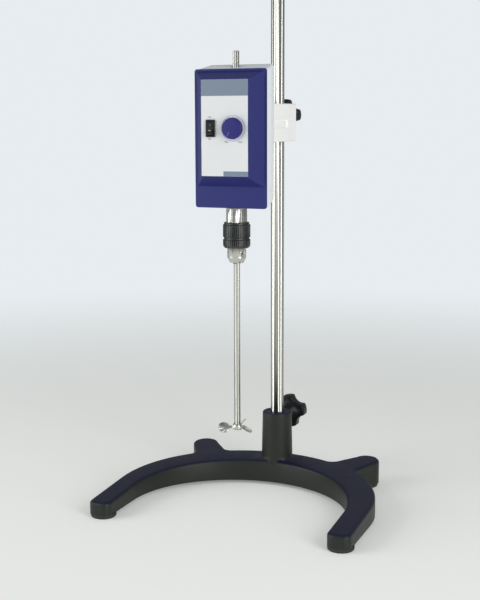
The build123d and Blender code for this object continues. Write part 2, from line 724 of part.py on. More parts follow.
with BuildPart() as casing_posts:
    with BuildSketch(from_back(JOINT_Y)):
        with Locations(*shell_posts):
            Circle(SHELL_POST_D / 2)
    extrude(amount=TAIL_Y - JOINT_Y)
    add(casing_form.part, mode=Mode.INTERSECT)

with BuildPart() as rear_shell:
    add(casing_form.part)
    add(casing_hollow.part, mode=Mode.SUBTRACT)
    add(casing_posts.part)
    with BuildSketch(from_back(JOINT_Y)):
        with Locations(*shell_posts):
            Circle(SHELL_SCREW_D / 2)
    extrude(amount=SHELL_SEAT_DEPTH, mode=Mode.SUBTRACT)
    with BuildSketch(from_back(shell_seat_y)):
        with Locations(*shell_posts):
            Circle(SHELL_SCREW_HEAD_D / 2)
    extrude(amount=TAIL_Y - shell_seat_y, mode=Mode.SUBTRACT)
    with BuildSketch(level(HEAD_BOTTOM)):
        with Locations((0, SHAFT_Y)):
            Circle(FLOOR_HOLE_D / 2)
    extrude(amount=LOWER_SHELF, mode=Mode.SUBTRACT)
    with BuildSketch(level(HEAD_BOTTOM + SPINDLE_TOP)):
        with Locations((0, SHAFT_Y)):
            Circle(ROOF_HOLE_D / 2)
    extrude(amount=RIM_HEIGHT, mode=Mode.SUBTRACT)
    with BuildSketch(from_back(TAIL_Y)):
        with Locations(*arm_screw_spots):
            Circle(ARM_SCREW_D / 2)
        with Locations((0, gland_z)):
            Circle(GLAND_HOLE_D / 2)
    extrude(amount=-2 * WALL, mode=Mode.SUBTRACT)
save(rear_shell, "rear_shell")

# Front cover: a thin rim, a flat band along the bottom, and a raised plateau with bevelled sides
# that carries the control panel in a shallow recess.
def cover_section(y, half, low, high):
    """Rectangle sketch of the front cover's bevels at depth y."""
    with BuildSketch(upright(y)) as section:
        with Locations((0, (low + high) / 2)):
            Rectangle(2 * half, high - low)
    return section.sketch


bevel_half = RIM_HALF_WIDTH - LIP
bevel_low = HEAD_BOTTOM + BAND_HEIGHT
bevel_high = RIM_TOP - LIP
plateau_low = HEAD_BOTTOM + PLATEAU_BOTTOM
plateau_high = HEAD_BOTTOM + PLATEAU_TOP
front_inner_y = PLATEAU_Y + FRONT_WALL
board_y = PLATEAU_Y + BOARD_BEHIND_PANEL
board_spots = []
for side in (-1, 1):
    for rise in (BOARD_LOW + BOARD_POST_INSET, BOARD_HIGH - BOARD_POST_INSET):
        board_spots.append((side * (BOARD_HALF_WIDTH - BOARD_POST_INSET), HEAD_BOTTOM + rise))

with BuildPart() as cover_form:
    loft(
        [
            cover_section(RIM_Y, bevel_half, bevel_low, bevel_high),
            cover_section(PLATEAU_Y, PLATEAU_HALF_WIDTH, plateau_low, plateau_high),
        ],
        ruled=True,
    )
    mitres = cover_form.edges().filter_by_position(Axis.Y, PLATEAU_Y + RUNNING_FIT, RIM_Y - RUNNING_FIT)
    fillet(mitres, radius=PLATEAU_CORNER_R)
    fillet(cover_form.faces().sort_by(Axis.Y)[0].edges(), radius=PLATEAU_EDGE_ROUND)
    with BuildSketch(upright(JOINT_Y)):
        with Locations((0, (HEAD_BOTTOM + RIM_TOP) / 2)):
            RectangleRounded(2 * RIM_HALF_WIDTH, RIM_HEIGHT, RIM_CORNER_R)
    extrude(amount=RIM_THICK)

with BuildPart() as cover_hollow:
    hollow_back = cover_section(
        JOINT_Y + WALL, bevel_half - COVER_INSET, bevel_low + COVER_INSET, bevel_high - COVER_INSET
    )
    hollow_rim = cover_section(RIM_Y, bevel_half - COVER_INSET, bevel_low + COVER_INSET, bevel_high - COVER_INSET)
    hollow_front = cover_section(
        front_inner_y, PLATEAU_HALF_WIDTH - WALL / 2, plateau_low + WALL / 2, plateau_high - WALL / 2
    )
    loft([hollow_back, hollow_rim, hollow_front], ruled=True)

with BuildPart() as cover_posts:
    with BuildSketch(upright(JOINT_Y)):
        with Locations(*shell_posts):
            Circle(SHELL_POST_D / 2)
    extrude(amount=JOINT_Y - front_inner_y)
    with BuildSketch(upright(board_y)):
        with Locations(*board_spots):
            Circle(BOARD_POST_D / 2)
    extrude(amount=board_y - front_inner_y)
    add(cover_form.part, mode=Mode.INTERSECT)

switch_neck_w = SWITCH_WIDTH - 2 * SWITCH_NECK
switch_neck_h = SWITCH_HEIGHT - 2 * SWITCH_NECK
with BuildPart() as front_cover:
    add(cover_form.part)
    add(cover_hollow.part, mode=Mode.SUBTRACT)
    add(cover_posts.part)
    with BuildSketch(upright(PLATEAU_Y)):
        with Locations((0, (plateau_low + plateau_high) / 2)):
            Rectangle(2 * (PLATEAU_HALF_WIDTH - PANEL_MARGIN), plateau_high - plateau_low - 2 * PANEL_MARGIN)
    extrude(amount=-PANEL_THICK, mode=Mode.SUBTRACT)
    with BuildSketch(upright(PLATEAU_Y)):
        with Locations((KNOB_X, CONTROL_Z)):
            Circle(POT_BUSH_D / 2)
        with Locations((SWITCH_X, CONTROL_Z)):
            Rectangle(switch_neck_w, switch_neck_h)
    extrude(amount=-2 * FRONT_WALL, mode=Mode.SUBTRACT)
    with BuildSketch(upright(JOINT_Y)):
        with Locations(*shell_posts):
            Circle(SHELL_SCREW_D / 2)
    extrude(amount=SHELL_SCREW_GRIP, mode=Mode.SUBTRACT)
    with BuildSketch(upright(board_y)):
        with Locations(*board_spots):
            Circle(BOARD_SCREW_D / 2)
    extrude(amount=BOARD_BEHIND_PANEL / 2, mode=Mode.SUBTRACT)
save(front_cover, "front_cover")

with BuildPart() as shell_screws:
    with BuildSketch(from_back(shell_seat_y)):
        with Locations(*shell_posts):
            Circle(SHELL_SCREW_HEAD_D / 2)
    extrude(amount=SHELL_SCREW_HEAD_H)
    with BuildSketch(from_back(shell_seat_y)):
        with Locations(*shell_posts):
            Circle(SHELL_SCREW_D / 2)
    extrude(amount=JOINT_Y - SHELL_SCREW_GRIP - shell_seat_y)
save(shell_screws, "shell_screws")

# Control panel: a plate let into the plateau, pierced for the potentiometer and the switch.
with BuildPart() as control_panel:
    with BuildSketch(upright(PLATEAU_Y)):
        with Locations((0, (plateau_low + plateau_high) / 2)):
            Rectangle(2 * (PLATEAU_HALF_WIDTH - PANEL_MARGIN), plateau_high - plateau_low - 2 * PANEL_MARGIN)
        with Locations((KNOB_X, CONTROL_Z)):
            Circle(POT_BUSH_D / 2, mode=Mode.SUBTRACT)
        with Locations((SWITCH_X, CONTROL_Z)):
            Rectangle(switch_neck_w, switch_neck_h, mode=Mode.SUBTRACT)
    extrude(amount=-PANEL_THICK)
save(control_panel, "control_panel")

# Speed control: a potentiometer behind the panel, its nut in front, and a fluted knob on its
# shaft that hides the nut.
with BuildPart() as speed_potentiometer:
    with BuildSketch(from_back(front_inner_y)):
        with Locations((-KNOB_X, CONTROL_Z)):
            Circle(POT_BODY_D / 2)
    extrude(amount=POT_BODY_H)
    with BuildSketch(upright(front_inner_y)):
        with Locations((KNOB_X, CONTROL_Z)):
            Circle(POT_BUSH_D / 2)
    extrude(amount=FRONT_WALL + POT_NUT_H)
    with BuildSketch(upright(front_inner_y + POT_BODY_H / 2)):
        with Locations((KNOB_X, CONTROL_Z)):
            Circle(POT_SHAFT_D / 2 + RUNNING_FIT)
    extrude(amount=POT_BODY_H + FRONT_WALL + POT_NUT_H, mode=Mode.SUBTRACT)
save(speed_potentiometer, "speed_potentiometer")

with BuildPart() as potentiometer_nut:
    with BuildSketch(upright(PLATEAU_Y)):
        with Locations((KNOB_X, CONTROL_Z)):
            RegularPolygon(POT_NUT_D / 2, 6)
            Circle(POT_BUSH_D / 2, mode=Mode.SUBTRACT)
    extrude(amount=POT_NUT_H)
save(potentiometer_nut, "potentiometer_nut")

shaft_back_y = front_inner_y + POT_BODY_H / 2 - 2 * RUNNING_FIT
knob_back_y = PLATEAU_Y - SPEED_KNOB_GAP
shaft_tip_y = knob_back_y - SPEED_KNOB_H + PANEL_THICK
with BuildPart() as potentiometer_shaft:
    with BuildSketch(upright(shaft_back_y)):
        with Locations((KNOB_X, CONTROL_Z)):
            Circle(POT_SHAFT_D / 2)
    extrude(amount=shaft_back_y - shaft_tip_y)
save(potentiometer_shaft, "potentiometer_shaft")

with BuildPart() as speed_knob:
    with BuildSketch(upright(knob_back_y)):
        with Locations((KNOB_X, CONTROL_Z)):
            Circle(SPEED_KNOB_D / 2)
            with PolarLocations(SPEED_KNOB_D / 2, SPEED_KNOB_FLUTES):
                Circle(SPEED_KNOB_FLUTE_R, mode=Mode.SUBTRACT)
    extrude(amount=SPEED_KNOB_H - PANEL_THICK)
    with BuildSketch(upright(knob_back_y - SPEED_KNOB_H + PANEL_THICK)):
        with Locations((KNOB_X, CONTROL_Z)):
            Circle(SPEED_KNOB_D / 2 - SPEED_KNOB_FLUTE_R)
    extrude(amount=PANEL_THICK)
    fillet(speed_knob.edges().sort_by(Axis.Y)[0], radius=PANEL_THICK / 2)
    with BuildSketch(upright(knob_back_y)):
        with Locations((KNOB_X, CONTROL_Z)):
            Circle(POT_NUT_D / 2 + SPEED_KNOB_GAP)
    extrude(amount=POT_NUT_H, mode=Mode.SUBTRACT)
    with BuildSketch(upright(knob_back_y)):
        with Locations((KNOB_X, CONTROL_Z)):
            Circle(POT_SHAFT_D / 2)
    extrude(amount=knob_back_y - shaft_tip_y, mode=Mode.SUBTRACT)
save(speed_knob, "speed_knob")

# Mains switch: a housing snapped through the panel, and a dished rocker on a cross pin in it.
# The rocker rests tipped, with its lower end out.
pivot_y = PLATEAU_Y - SWITCH_BEZEL + ROCKER_END_HEIGHT / 2
cavity_w = ROCKER_WIDTH + 2 * MOVING_GAP
cavity_h = 2 * (ROCKER_R + MOVING_GAP)
cavity_back = pivot_y + ROCKER_BACK + 2 * MOVING_GAP + ROCKER_R * sin(radians(ROCKER_TILT))
with BuildPart() as switch_housing:
    with BuildSketch(upright(PLATEAU_Y)) as bezel:
        with Locations((SWITCH_X, CONTROL_Z)):
            RectangleRounded(SWITCH_WIDTH, SWITCH_HEIGHT, SWITCH_NECK)
    extrude(amount=SWITCH_BEZEL)
    chamfer(switch_housing.faces().sort_by(Axis.Y)[0].edges(), length=MOVING_GAP)
    with BuildSketch(upright(PLATEAU_Y)):
        with Locations((SWITCH_X, CONTROL_Z)):
            Rectangle(switch_neck_w, switch_neck_h)
    extrude(amount=-SWITCH_DEPTH)
    with BuildSketch(upright(cavity_back)):
        with Locations((SWITCH_X, CONTROL_Z)):
            Rectangle(cavity_w, cavity_h)
    extrude(amount=SWITCH_DEPTH, mode=Mode.SUBTRACT)
    with BuildSketch(Plane(origin=(SWITCH_X, pivot_y, CONTROL_Z), z_dir=(1, 0, 0))):
        Circle(ROCKER_PIN_D / 2 + RUNNING_FIT)
    extrude(amount=switch_neck_w / 2, both=True, mode=Mode.SUBTRACT)
save(switch_housing, "switch_housing")

rocker_tilt = radians(ROCKER_TILT)
rocker_inward = (0, cos(rocker_tilt), -sin(rocker_tilt))
rocker_plane = Plane(origin=(SWITCH_X, pivot_y, CONTROL_Z), x_dir=rocker_inward, z_dir=(1, 0, 0))
end_z = sqrt(ROCKER_R**2 - ROCKER_END_HEIGHT**2)
back_z = sqrt(ROCKER_R**2 - ROCKER_BACK**2)

with BuildPart() as power_rocker:
    with BuildSketch(rocker_plane):
        with BuildLine():
            Line((-ROCKER_END_HEIGHT, -end_z), (-ROCKER_END_HEIGHT + ROCKER_DISH, 0))
            Line((-ROCKER_END_HEIGHT + ROCKER_DISH, 0), (-ROCKER_END_HEIGHT, end_z))
            ThreePointArc((-ROCKER_END_HEIGHT, end_z), (0, ROCKER_R), (ROCKER_BACK, back_z))
            Line((ROCKER_BACK, back_z), (ROCKER_BACK, -back_z))
            ThreePointArc((ROCKER_BACK, -back_z), (0, -ROCKER_R), (-ROCKER_END_HEIGHT, -end_z))
        make_face()
    extrude(amount=ROCKER_WIDTH / 2, both=True)
    with BuildSketch(rocker_plane):
        Circle(ROCKER_PIN_D / 2)
    extrude(amount=(switch_neck_w - MOVING_GAP) / 2, both=True)
save(power_rocker, "power_rocker")

# Control board on posts behind the panel, with its tall components on the back.
board_back_y = board_y + BOARD_THICK
board_middle_z = HEAD_BOTTOM + (BOARD_LOW + BOARD_HIGH) / 2
fin_pitch = HEAT_SINK_WIDTH / (2 * HEAT_SINK_FINS - 1)
with BuildPart() as control_board:
    with BuildSketch(from_back(board_y)):
        with Locations((0, board_middle_z)):
            Rectangle(2 * BOARD_HALF_WIDTH, BOARD_HIGH - BOARD_LOW)
        with Locations(*board_spots):
            Circle(BOARD_SCREW_D / 2, mode=Mode.SUBTRACT)
    extrude(amount=BOARD_THICK)
    with BuildSketch(from_back(board_back_y)):
        for rise in CAPACITOR_RISES:
            with Locations((-CAPACITOR_X, HEAD_BOTTOM + rise)):
                Circle(CAPACITOR_D / 2)
    extrude(amount=CAPACITOR_H)
    with BuildSketch(from_back(board_back_y)):
        with Locations((-HEAT_SINK_X, HEAD_BOTTOM + HEAT_SINK_RISE)):
            Rectangle(HEAT_SINK_WIDTH, HEAT_SINK_HEIGHT)
    extrude(amount=fin_pitch)
    with BuildSketch(from_back(board_back_y)):
        with Locations((-HEAT_SINK_X, HEAD_BOTTOM + HEAT_SINK_RISE)):
            with GridLocations(2 * fin_pitch, 0, HEAT_SINK_FINS, 1):
                Rectangle(fin_pitch, HEAT_SINK_HEIGHT)
    extrude(amount=HEAT_SINK_DEPTH)
save(control_board, "control_board")

with BuildPart() as board_screws:
    with BuildSketch(from_back(board_back_y)):
        with Locations(*board_spots):
            Circle(BOARD_SCREW_HEAD_D / 2)
    extrude(amount=BOARD_SCREW_HEAD_H)
    with BuildSketch(from_back(board_back_y)):
        with Locations(*board_spots):
            Circle(BOARD_SCREW_D / 2)
    extrude(amount=-BOARD_BEHIND_PANEL / 2)
save(board_screws, "board_screws")

# Gearbox: a frame whose upper shelf carries one spindle bearing and the motor, and a lower plate
# hung from it on two pillars that carries the other bearing.
lower_shelf_z = HEAD_BOTTOM + LOWER_SHELF
lower_shelf_top = lower_shelf_z + LOWER_SHELF_THICK
upper_shelf_z = HEAD_BOTTOM + UPPER_SHELF
upper_shelf_top = upper_shelf_z + UPPER_SHELF_THICK
frame_back_y = TAIL_Y - WALL
pillar_spots = [(-PILLAR_X, SHAFT_Y + PILLAR_BACK), (PILLAR_X, SHAFT_Y + PILLAR_BACK)]
shaft_spot = (0, SHAFT_Y)
motor_spot = (0, MOTOR_Y)

with BuildPart() as lower_bearing_plate:
    with BuildSketch(level(lower_shelf_z)) as plate_outline:
        with Locations(shaft_spot):
            Circle(FRAME_NOSE_R)
        with Locations(*pillar_spots):
            Circle(PILLAR_EAR_R)
        make_hull()
        with Locations(*pillar_spots):
            Circle(PILLAR_SPIGOT_D / 2, mode=Mode.SUBTRACT)
    extrude(amount=LOWER_SHELF_THICK)
    with BuildSketch(level(lower_shelf_z)):
        with Locations(shaft_spot):
            Circle(BEARING_D / 2)
    extrude(amount=BEARING_WIDTH, mode=Mode.SUBTRACT)
    with BuildSketch(level(lower_shelf_z)):
        with Locations(shaft_spot):
            Circle(BEARING_SHOULDER_D / 2)
    extrude(amount=LOWER_SHELF_THICK, mode=Mode.SUBTRACT)
save(lower_bearing_plate, "lower_bearing_plate")

with BuildPart() as frame_pillars:
    with BuildSketch(level(lower_shelf_z)):
        with Locations(*pillar_spots):
            Circle(PILLAR_SPIGOT_D / 2)
    extrude(amount=upper_shelf_top - lower_shelf_z)
    with BuildSketch(level(lower_shelf_top)):
        with Locations(*pillar_spots):
            Circle(PILLAR_D / 2)
    extrude(amount=upper_shelf_z - lower_shelf_top)
save(frame_pillars, "frame_pillars")

with BuildPart() as bearing_frame:
    with BuildSketch(level(upper_shelf_z)):
        with Locations(shaft_spot):
            Circle(FRAME_NOSE_R)
        with Locations(*pillar_spots):
            Circle(PILLAR_EAR_R)
        with Locations((0, frame_back_y - FRAME_PLATE / 2)):
            Rectangle(2 * FRAME_HALF_WIDTH, FRAME_PLATE)
        make_hull()
        with Locations(*pillar_spots):
            Circle(PILLAR_SPIGOT_D / 2, mode=Mode.SUBTRACT)
        with Locations(motor_spot):
            Circle(MOTOR_PILOT_D / 2, mode=Mode.SUBTRACT)
        with Locations((MOTOR_SCREW_X, MOTOR_Y), (-MOTOR_SCREW_X, MOTOR_Y)):
            Circle(MOTOR_SCREW_D / 2, mode=Mode.SUBTRACT)
        with Locations(shaft_spot):
            Circle(BEARING_SHOULDER_D / 2, mode=Mode.SUBTRACT)
    extrude(amount=UPPER_SHELF_THICK)
    with BuildSketch(level(upper_shelf_top)):
        with Locations(shaft_spot):
            Circle(BEARING_D / 2)
    extrude(amount=-BEARING_WIDTH, mode=Mode.SUBTRACT)
    with BuildSketch(from_back(frame_back_y)):
        with Locations((0, (upper_shelf_z + HEAD_BOTTOM + FRAME_TOP) / 2)):
            Rectangle(2 * FRAME_HALF_WIDTH, HEAD_BOTTOM + FRAME_TOP - upper_shelf_z)
    extrude(amount=-FRAME_PLATE)
    with BuildSketch(from_back(frame_back_y)):
        with Locations(*arm_screw_spots):
            Circle(ARM_SCREW_D / 2)
    extrude(amount=-FRAME_PLATE, mode=Mode.SUBTRACT)
    with BuildSketch(from_back(frame_back_y - FRAME_PLATE)):
        with Locations(*arm_screw_spots):
            Circle(ARM_SCREW_HEAD_D / 2)
    extrude(amount=(ARM_SCREW_HEAD_D - ARM_SCREW_D) / 2, taper=45, mode=Mode.SUBTRACT)
save(bearing_frame, "bearing_frame")

with BuildPart() as arm_screws:
    with BuildSketch(from_back(frame_back_y - FRAME_PLATE)):
        with Locations(*arm_screw_spots):
            Circle(ARM_SCREW_HEAD_D / 2)
    extrude(amount=(ARM_SCREW_HEAD_D - ARM_SCREW_D) / 2, taper=45)
    with BuildSketch(from_back(frame_back_y - FRAME_PLATE)):
        with Locations(*arm_screw_spots):
            Circle(ARM_SCREW_D / 2)
    extrude(amount=FRAME_PLATE + WALL + ARM_SCREW_GRIP)
save(arm_screws, "arm_screws")

for name, low_z in (("lower_bearing", lower_shelf_z), ("upper_bearing", upper_shelf_top - BEARING_WIDTH)):
    with BuildPart() as bearing:
        with BuildSketch(level(low_z)):
            with Locations(shaft_spot):
                Circle(BEARING_D / 2)
                Circle(SPINDLE_D / 2 + RUNNING_FIT, mode=Mode.SUBTRACT)
        extrude(amount=BEARING_WIDTH)
        for face_z, depth in ((low_z, BEARING_SHIELD_DEPTH), (low_z + BEARING_WIDTH, -BEARING_SHIELD_DEPTH)):
            with BuildSketch(level(face_z)):
                with Locations(shaft_spot):
                    Circle(BEARING_SHIELD_OUT)
                    Circle(BEARING_SHIELD_IN, mode=Mode.SUBTRACT)
            extrude(amount=depth, mode=Mode.SUBTRACT)
    save(bearing, name)

# Spindle: a hollow steel tube, so that the stirring rod can pass right up through the head.
spindle_low_z = CHUCK_TOP - SPINDLE_SOCKET
with BuildPart() as hollow_spindle:
    with BuildSketch(level(spindle_low_z)):
        with Locations(shaft_spot):
            Circle(SPINDLE_D / 2)
    extrude(amount=HEAD_BOTTOM + SPINDLE_STEP - spindle_low_z)
    with BuildSketch(level(HEAD_BOTTOM + SPINDLE_STEP)):
        with Locations(shaft_spot):
            Circle(SPINDLE_TOP_D / 2)
    extrude(amount=SPINDLE_TOP - SPINDLE_STEP)
    with BuildSketch(level(spindle_low_z)):
        with Locations(shaft_spot):
            Circle(SPINDLE_BORE_D / 2)
    extrude(amount=HEAD_BOTTOM + SPINDLE_TOP - spindle_low_z, mode=Mode.SUBTRACT)
save(hollow_spindle, "hollow_spindle")


# Gears: involute teeth, drawn flank by flank and thinned by the backlash.
def gear_points(teeth, centre, first_angle):
    """Corner points of a spur gear with a tooth at first_angle degrees."""
    pitch_r = GEAR_MODULE * teeth / 2
    base_r = pitch_r * cos(radians(PRESSURE_ANGLE))
    tip_r = pitch_r + GEAR_MODULE
    root_r = pitch_r - DEDENDUM * GEAR_MODULE
    involute_at_pitch = tan(radians(PRESSURE_ANGLE)) - radians(PRESSURE_ANGLE)
    half_tooth = pi / (2 * teeth) - GEAR_BACKLASH / (2 * pitch_r)
    start_r = max(base_r, root_r)
    radii = [root_r] if root_r < base_r else []
    for step in range(FLANK_STEPS + 1):
        radii.append(start_r + (tip_r - start_r) * step / FLANK_STEPS)
    flank = []
    for radius in radii:
        pressure = acos(min(1, base_r / radius))
        flank.append((radius, half_tooth + involute_at_pitch - tan(pressure) + pressure))
    points = []
    for tooth in range(teeth):
        middle = radians(first_angle) + 2 * pi * tooth / teeth
        turns = [(radius, middle - half) for radius, half in flank]
        turns += [(radius, middle + half) for radius, half in reversed(flank)]
        for radius, turn in turns:
            points.append((centre[0] + radius * cos(turn), centre[1] + radius * sin(turn)))
    return points


gear_low_z = HEAD_BOTTOM + GEAR_LOW
hub_low_z = gear_low_z - GEAR_HUB_EXTRA
with BuildPart() as drive_gear:
    with BuildSketch(level(gear_low_z)):
        with BuildLine():
            Polyline(*gear_points(DRIVE_TEETH, shaft_spot, 90), close=True)
        make_face()
        with Locations(shaft_spot):
            with PolarLocations(GEAR_WINDOW_RING_R, GEAR_WINDOWS):
                Circle(GEAR_WINDOW_D / 2, mode=Mode.SUBTRACT)
    extrude(amount=GEAR_FACE)
    with BuildSketch(level(hub_low_z)):
        with Locations(shaft_spot):
            Circle(GEAR_HUB_D / 2)
    extrude(amount=GEAR_FACE + 2 * GEAR_HUB_EXTRA)
    with BuildSketch(level(hub_low_z)):
        with Locations(shaft_spot):
            Circle(SPINDLE_D / 2)
    extrude(amount=GEAR_FACE + 2 * GEAR_HUB_EXTRA, mode=Mode.SUBTRACT)
save(drive_gear, "drive_gear")

pinion_low_z = gear_low_z + (GEAR_FACE - PINION_FACE) / 2
with BuildPart() as motor_pinion:
    with BuildSketch(level(pinion_low_z)):
        with BuildLine():
            Polyline(*gear_points(PINION_TEETH, motor_spot, -90 + 180 / PINION_TEETH), close=True)
        make_face()
        with Locations(motor_spot):
            Circle(MOTOR_SHAFT_D / 2, mode=Mode.SUBTRACT)
    extrude(amount=PINION_FACE)
save(motor_pinion, "motor_pinion")

motor_shaft_low = pinion_low_z - MOTOR_SHAFT_END
with BuildPart() as motor_shaft:
    with BuildSketch(level(motor_shaft_low)):
        with Locations(motor_spot):
            Circle(MOTOR_SHAFT_D / 2)
    extrude(amount=upper_shelf_top + MOTOR_SHAFT_HOLD - motor_shaft_low)
save(motor_shaft, "motor_shaft")

motor_screw_spots = [(-MOTOR_SCREW_X, MOTOR_Y), (MOTOR_SCREW_X, MOTOR_Y)]
with BuildPart() as motor_body:
    with BuildSketch(level(upper_shelf_top)):
        with Locations(motor_spot):
            Circle(MOTOR_D / 2)
    extrude(amount=MOTOR_LENGTH - MOTOR_CAP_H)
    fillet(motor_body.edges().group_by(Axis.Z)[-1], radius=MOTOR_EDGE_ROUND)
    with BuildSketch(level(upper_shelf_top + MOTOR_LENGTH - MOTOR_CAP_H)):
        with Locations(motor_spot):
            Circle(MOTOR_CAP_D / 2)
    extrude(amount=MOTOR_CAP_H)
    with BuildSketch(level(upper_shelf_top)):
        with Locations(motor_spot):
            Circle(MOTOR_PILOT_D / 2)
    extrude(amount=-MOTOR_PILOT_H)
    with BuildSketch(level(upper_shelf_top - MOTOR_PILOT_H)):
        with Locations(motor_spot):
            Circle(MOTOR_SHAFT_D / 2 + RUNNING_FIT)
    extrude(amount=MOTOR_PILOT_H + MOTOR_SHAFT_HOLD + MOVING_GAP, mode=Mode.SUBTRACT)
    with BuildSketch(level(upper_shelf_top)):
        with Locations(*motor_screw_spots):
            Circle(MOTOR_SCREW_D / 2)
    extrude(amount=MOTOR_SCREW_GRIP, mode=Mode.SUBTRACT)
save(motor_body, "motor_body")

with BuildPart() as motor_screws:
    with BuildSketch(level(upper_shelf_z - MOTOR_SCREW_HEAD_H)):
        with Locations(*motor_screw_spots):
            Circle(MOTOR_SCREW_HEAD_D / 2)
    extrude(amount=MOTOR_SCREW_HEAD_H)
    with BuildSketch(level(upper_shelf_z)):
        with Locations(*motor_screw_spots):
            Circle(MOTOR_SCREW_D / 2)
    extrude(amount=UPPER_SHELF_THICK + MOTOR_SCREW_GRIP)
save(motor_screws, "motor_screws")

# Cable gland: the mains lead enters through it at the foot of the casing's back.
with BuildPart() as cable_gland:
    with BuildSketch(from_back(TAIL_Y)):
        with Locations((0, gland_z)):
            Circle(GLAND_D / 2)
    extrude(amount=GLAND_OUT)
    fillet(cable_gland.edges().sort_by(Axis.Y)[-1], radius=GLAND_ROUND)
    with BuildSketch(from_back(TAIL_Y)):
        with Locations((0, gland_z)):
            Circle(GLAND_HOLE_D / 2)
    extrude(amount=-WALL - GLAND_INSIDE)
    with BuildSketch(from_back(TAIL_Y + GLAND_OUT)):
        with Locations((0, gland_z)):
            Circle(GLAND_CABLE_D / 2)
    extrude(amount=-GLAND_OUT - WALL - GLAND_INSIDE, mode=Mode.SUBTRACT)
save(cable_gland, "cable_gland")

with BuildPart() as gland_nut:
    with BuildSketch(from_back(frame_back_y)):
        with Locations((0, gland_z)):
            RegularPolygon(GLAND_NUT_D / 2, 6)
            Circle(GLAND_HOLE_D / 2, mode=Mode.SUBTRACT)
    extrude(amount=-GLAND_NUT_H)
save(gland_nut, "gland_nut")

# Drill chuck: a body with three leaning jaw bores, a toothed sleeve that turns on it with a nut
# pressed inside, bevel teeth for the key round the sleeve's lower end, and three jaws.
nose_end_z = CHUCK_TOP - CHUCK_NOSE_END
sleeve_top_z = CHUCK_TOP - SLEEVE_TOP
sleeve_low_z = CHUCK_TOP - SLEEVE_BOTTOM
jaw_tip_z = nose_end_z - JAW_PROUD
jaw_lean = radians(JAW_ANGLE)
jaw_turns = [-90 + 360 / JAW_COUNT * number for number in range(JAW_COUNT)]


def turned_profile(points):
    """Face in the plane through the shaft axis, from (radius, height) points."""
    with BuildSketch(Plane(origin=(0, SHAFT_Y, 0), x_dir=(1, 0, 0), z_dir=(0, -1, 0))) as profile:
        with BuildLine():
            Polyline(*points, close=True)
        make_face()
    return profile.sketch


def jaw_plane(turn):
    """Plane square to one jaw's bore, centred where the bore's axis meets the jaw tips."""
    outward = (cos(radians(turn)), sin(radians(turn)))
    origin = (JAW_TIP_AXIS_R * outward[0], SHAFT_Y + JAW_TIP_AXIS_R * outward[1], jaw_tip_z)
    lean = (sin(jaw_lean) * outward[0], sin(jaw_lean) * outward[1], cos(jaw_lean))
    return Plane(origin=origin, x_dir=(-outward[1], outward[0], 0), z_dir=lean)


body_r = CHUCK_BODY_D / 2
nose_r = CHUCK_NOSE_D / 2
shaft_axis = Axis((0, SHAFT_Y, 0), (0, 0, 1))
body_profile = turned_profile(
    [
        (ROD_D / 2 + MOVING_GAP, CHUCK_TOP),
        (body_r - CHUCK_EDGE, CHUCK_TOP),
        (body_r, CHUCK_TOP - CHUCK_EDGE),
        (body_r, sleeve_low_z),
        (nose_r, sleeve_low_z),
        (nose_r, nose_end_z + CHUCK_NOSE_TAPER),
        (CHUCK_NOSE_TIP_D / 2, nose_end_z),
        (ROD_D / 2 + MOVING_GAP, nose_end_z),
    ]
)
with BuildPart() as chuck_body:
    add(body_profile)
    revolve(axis=shaft_axis)
    with BuildSketch(level(CHUCK_TOP)):
        with Locations(shaft_spot):
            Circle(SPINDLE_D / 2)
    extrude(amount=-SPINDLE_SOCKET, mode=Mode.SUBTRACT)
    for turn in jaw_turns:
        with BuildSketch(jaw_plane(turn).offset(-JAW_D)):
            Circle(JAW_D / 2 + JAW_FIT)
        extrude(amount=JAW_D + JAW_LENGTH + JAW_TRAVEL + MOVING_GAP, mode=Mode.SUBTRACT)
    for number in range(JAW_COUNT):
        turn = radians(KEY_HOLE_FIRST_ANGLE + 360 / JAW_COUNT * number)
        key_origin = (nose_r * cos(turn), SHAFT_Y + nose_r * sin(turn), CHUCK_TOP - KEY_HOLE_DROP)
        with BuildSketch(Plane(origin=key_origin, z_dir=(cos(turn), sin(turn), 0))):
            Circle(KEY_HOLE_D / 2)
        extrude(amount=-KEY_HOLE_DEPTH, both=True, mode=Mode.SUBTRACT)
save(chuck_body, "chuck_body")

sleeve_r = SLEEVE_D / 2
sleeve_bore_r = body_r + SLEEVE_FIT
relief_r = sleeve_bore_r + SLEEVE_RELIEF
groove_z = CHUCK_TOP - SLEEVE_GROOVE
sleeve_profile = turned_profile(
    [
        (sleeve_bore_r, sleeve_top_z),
        (sleeve_r - SLEEVE_EDGE, sleeve_top_z),
        (sleeve_r, sleeve_top_z - SLEEVE_EDGE),
        (sleeve_r, groove_z + SLEEVE_GROOVE_R),
        (sleeve_r - SLEEVE_GROOVE_R, groove_z),
        (sleeve_r, groove_z - SLEEVE_GROOVE_R),
        (sleeve_r, sleeve_low_z + SLEEVE_TOOTH_DEPTH),
        (sleeve_r - SLEEVE_TOOTH_DEPTH, sleeve_low_z),
        (sleeve_bore_r, sleeve_low_z),
        (sleeve_bore_r, CHUCK_TOP - SLEEVE_RELIEF_BOTTOM),
        (relief_r, CHUCK_TOP - SLEEVE_RELIEF_BOTTOM),
        (relief_r, CHUCK_TOP - SLEEVE_RELIEF_TOP),
        (sleeve_bore_r, CHUCK_TOP - SLEEVE_RELIEF_TOP),
    ]
)
tooth_gap = pi * sleeve_r / SLEEVE_TEETH
with BuildPart() as chuck_sleeve:
    add(sleeve_profile)
    revolve(axis=shaft_axis)
    with BuildSketch(level(sleeve_low_z)):
        with Locations(shaft_spot):
            with PolarLocations(sleeve_r, SLEEVE_TEETH):
                Rectangle(2 * SLEEVE_TOOTH_DEPTH, tooth_gap)
    extrude(amount=SLEEVE_TOOTH_DEPTH, mode=Mode.SUBTRACT)
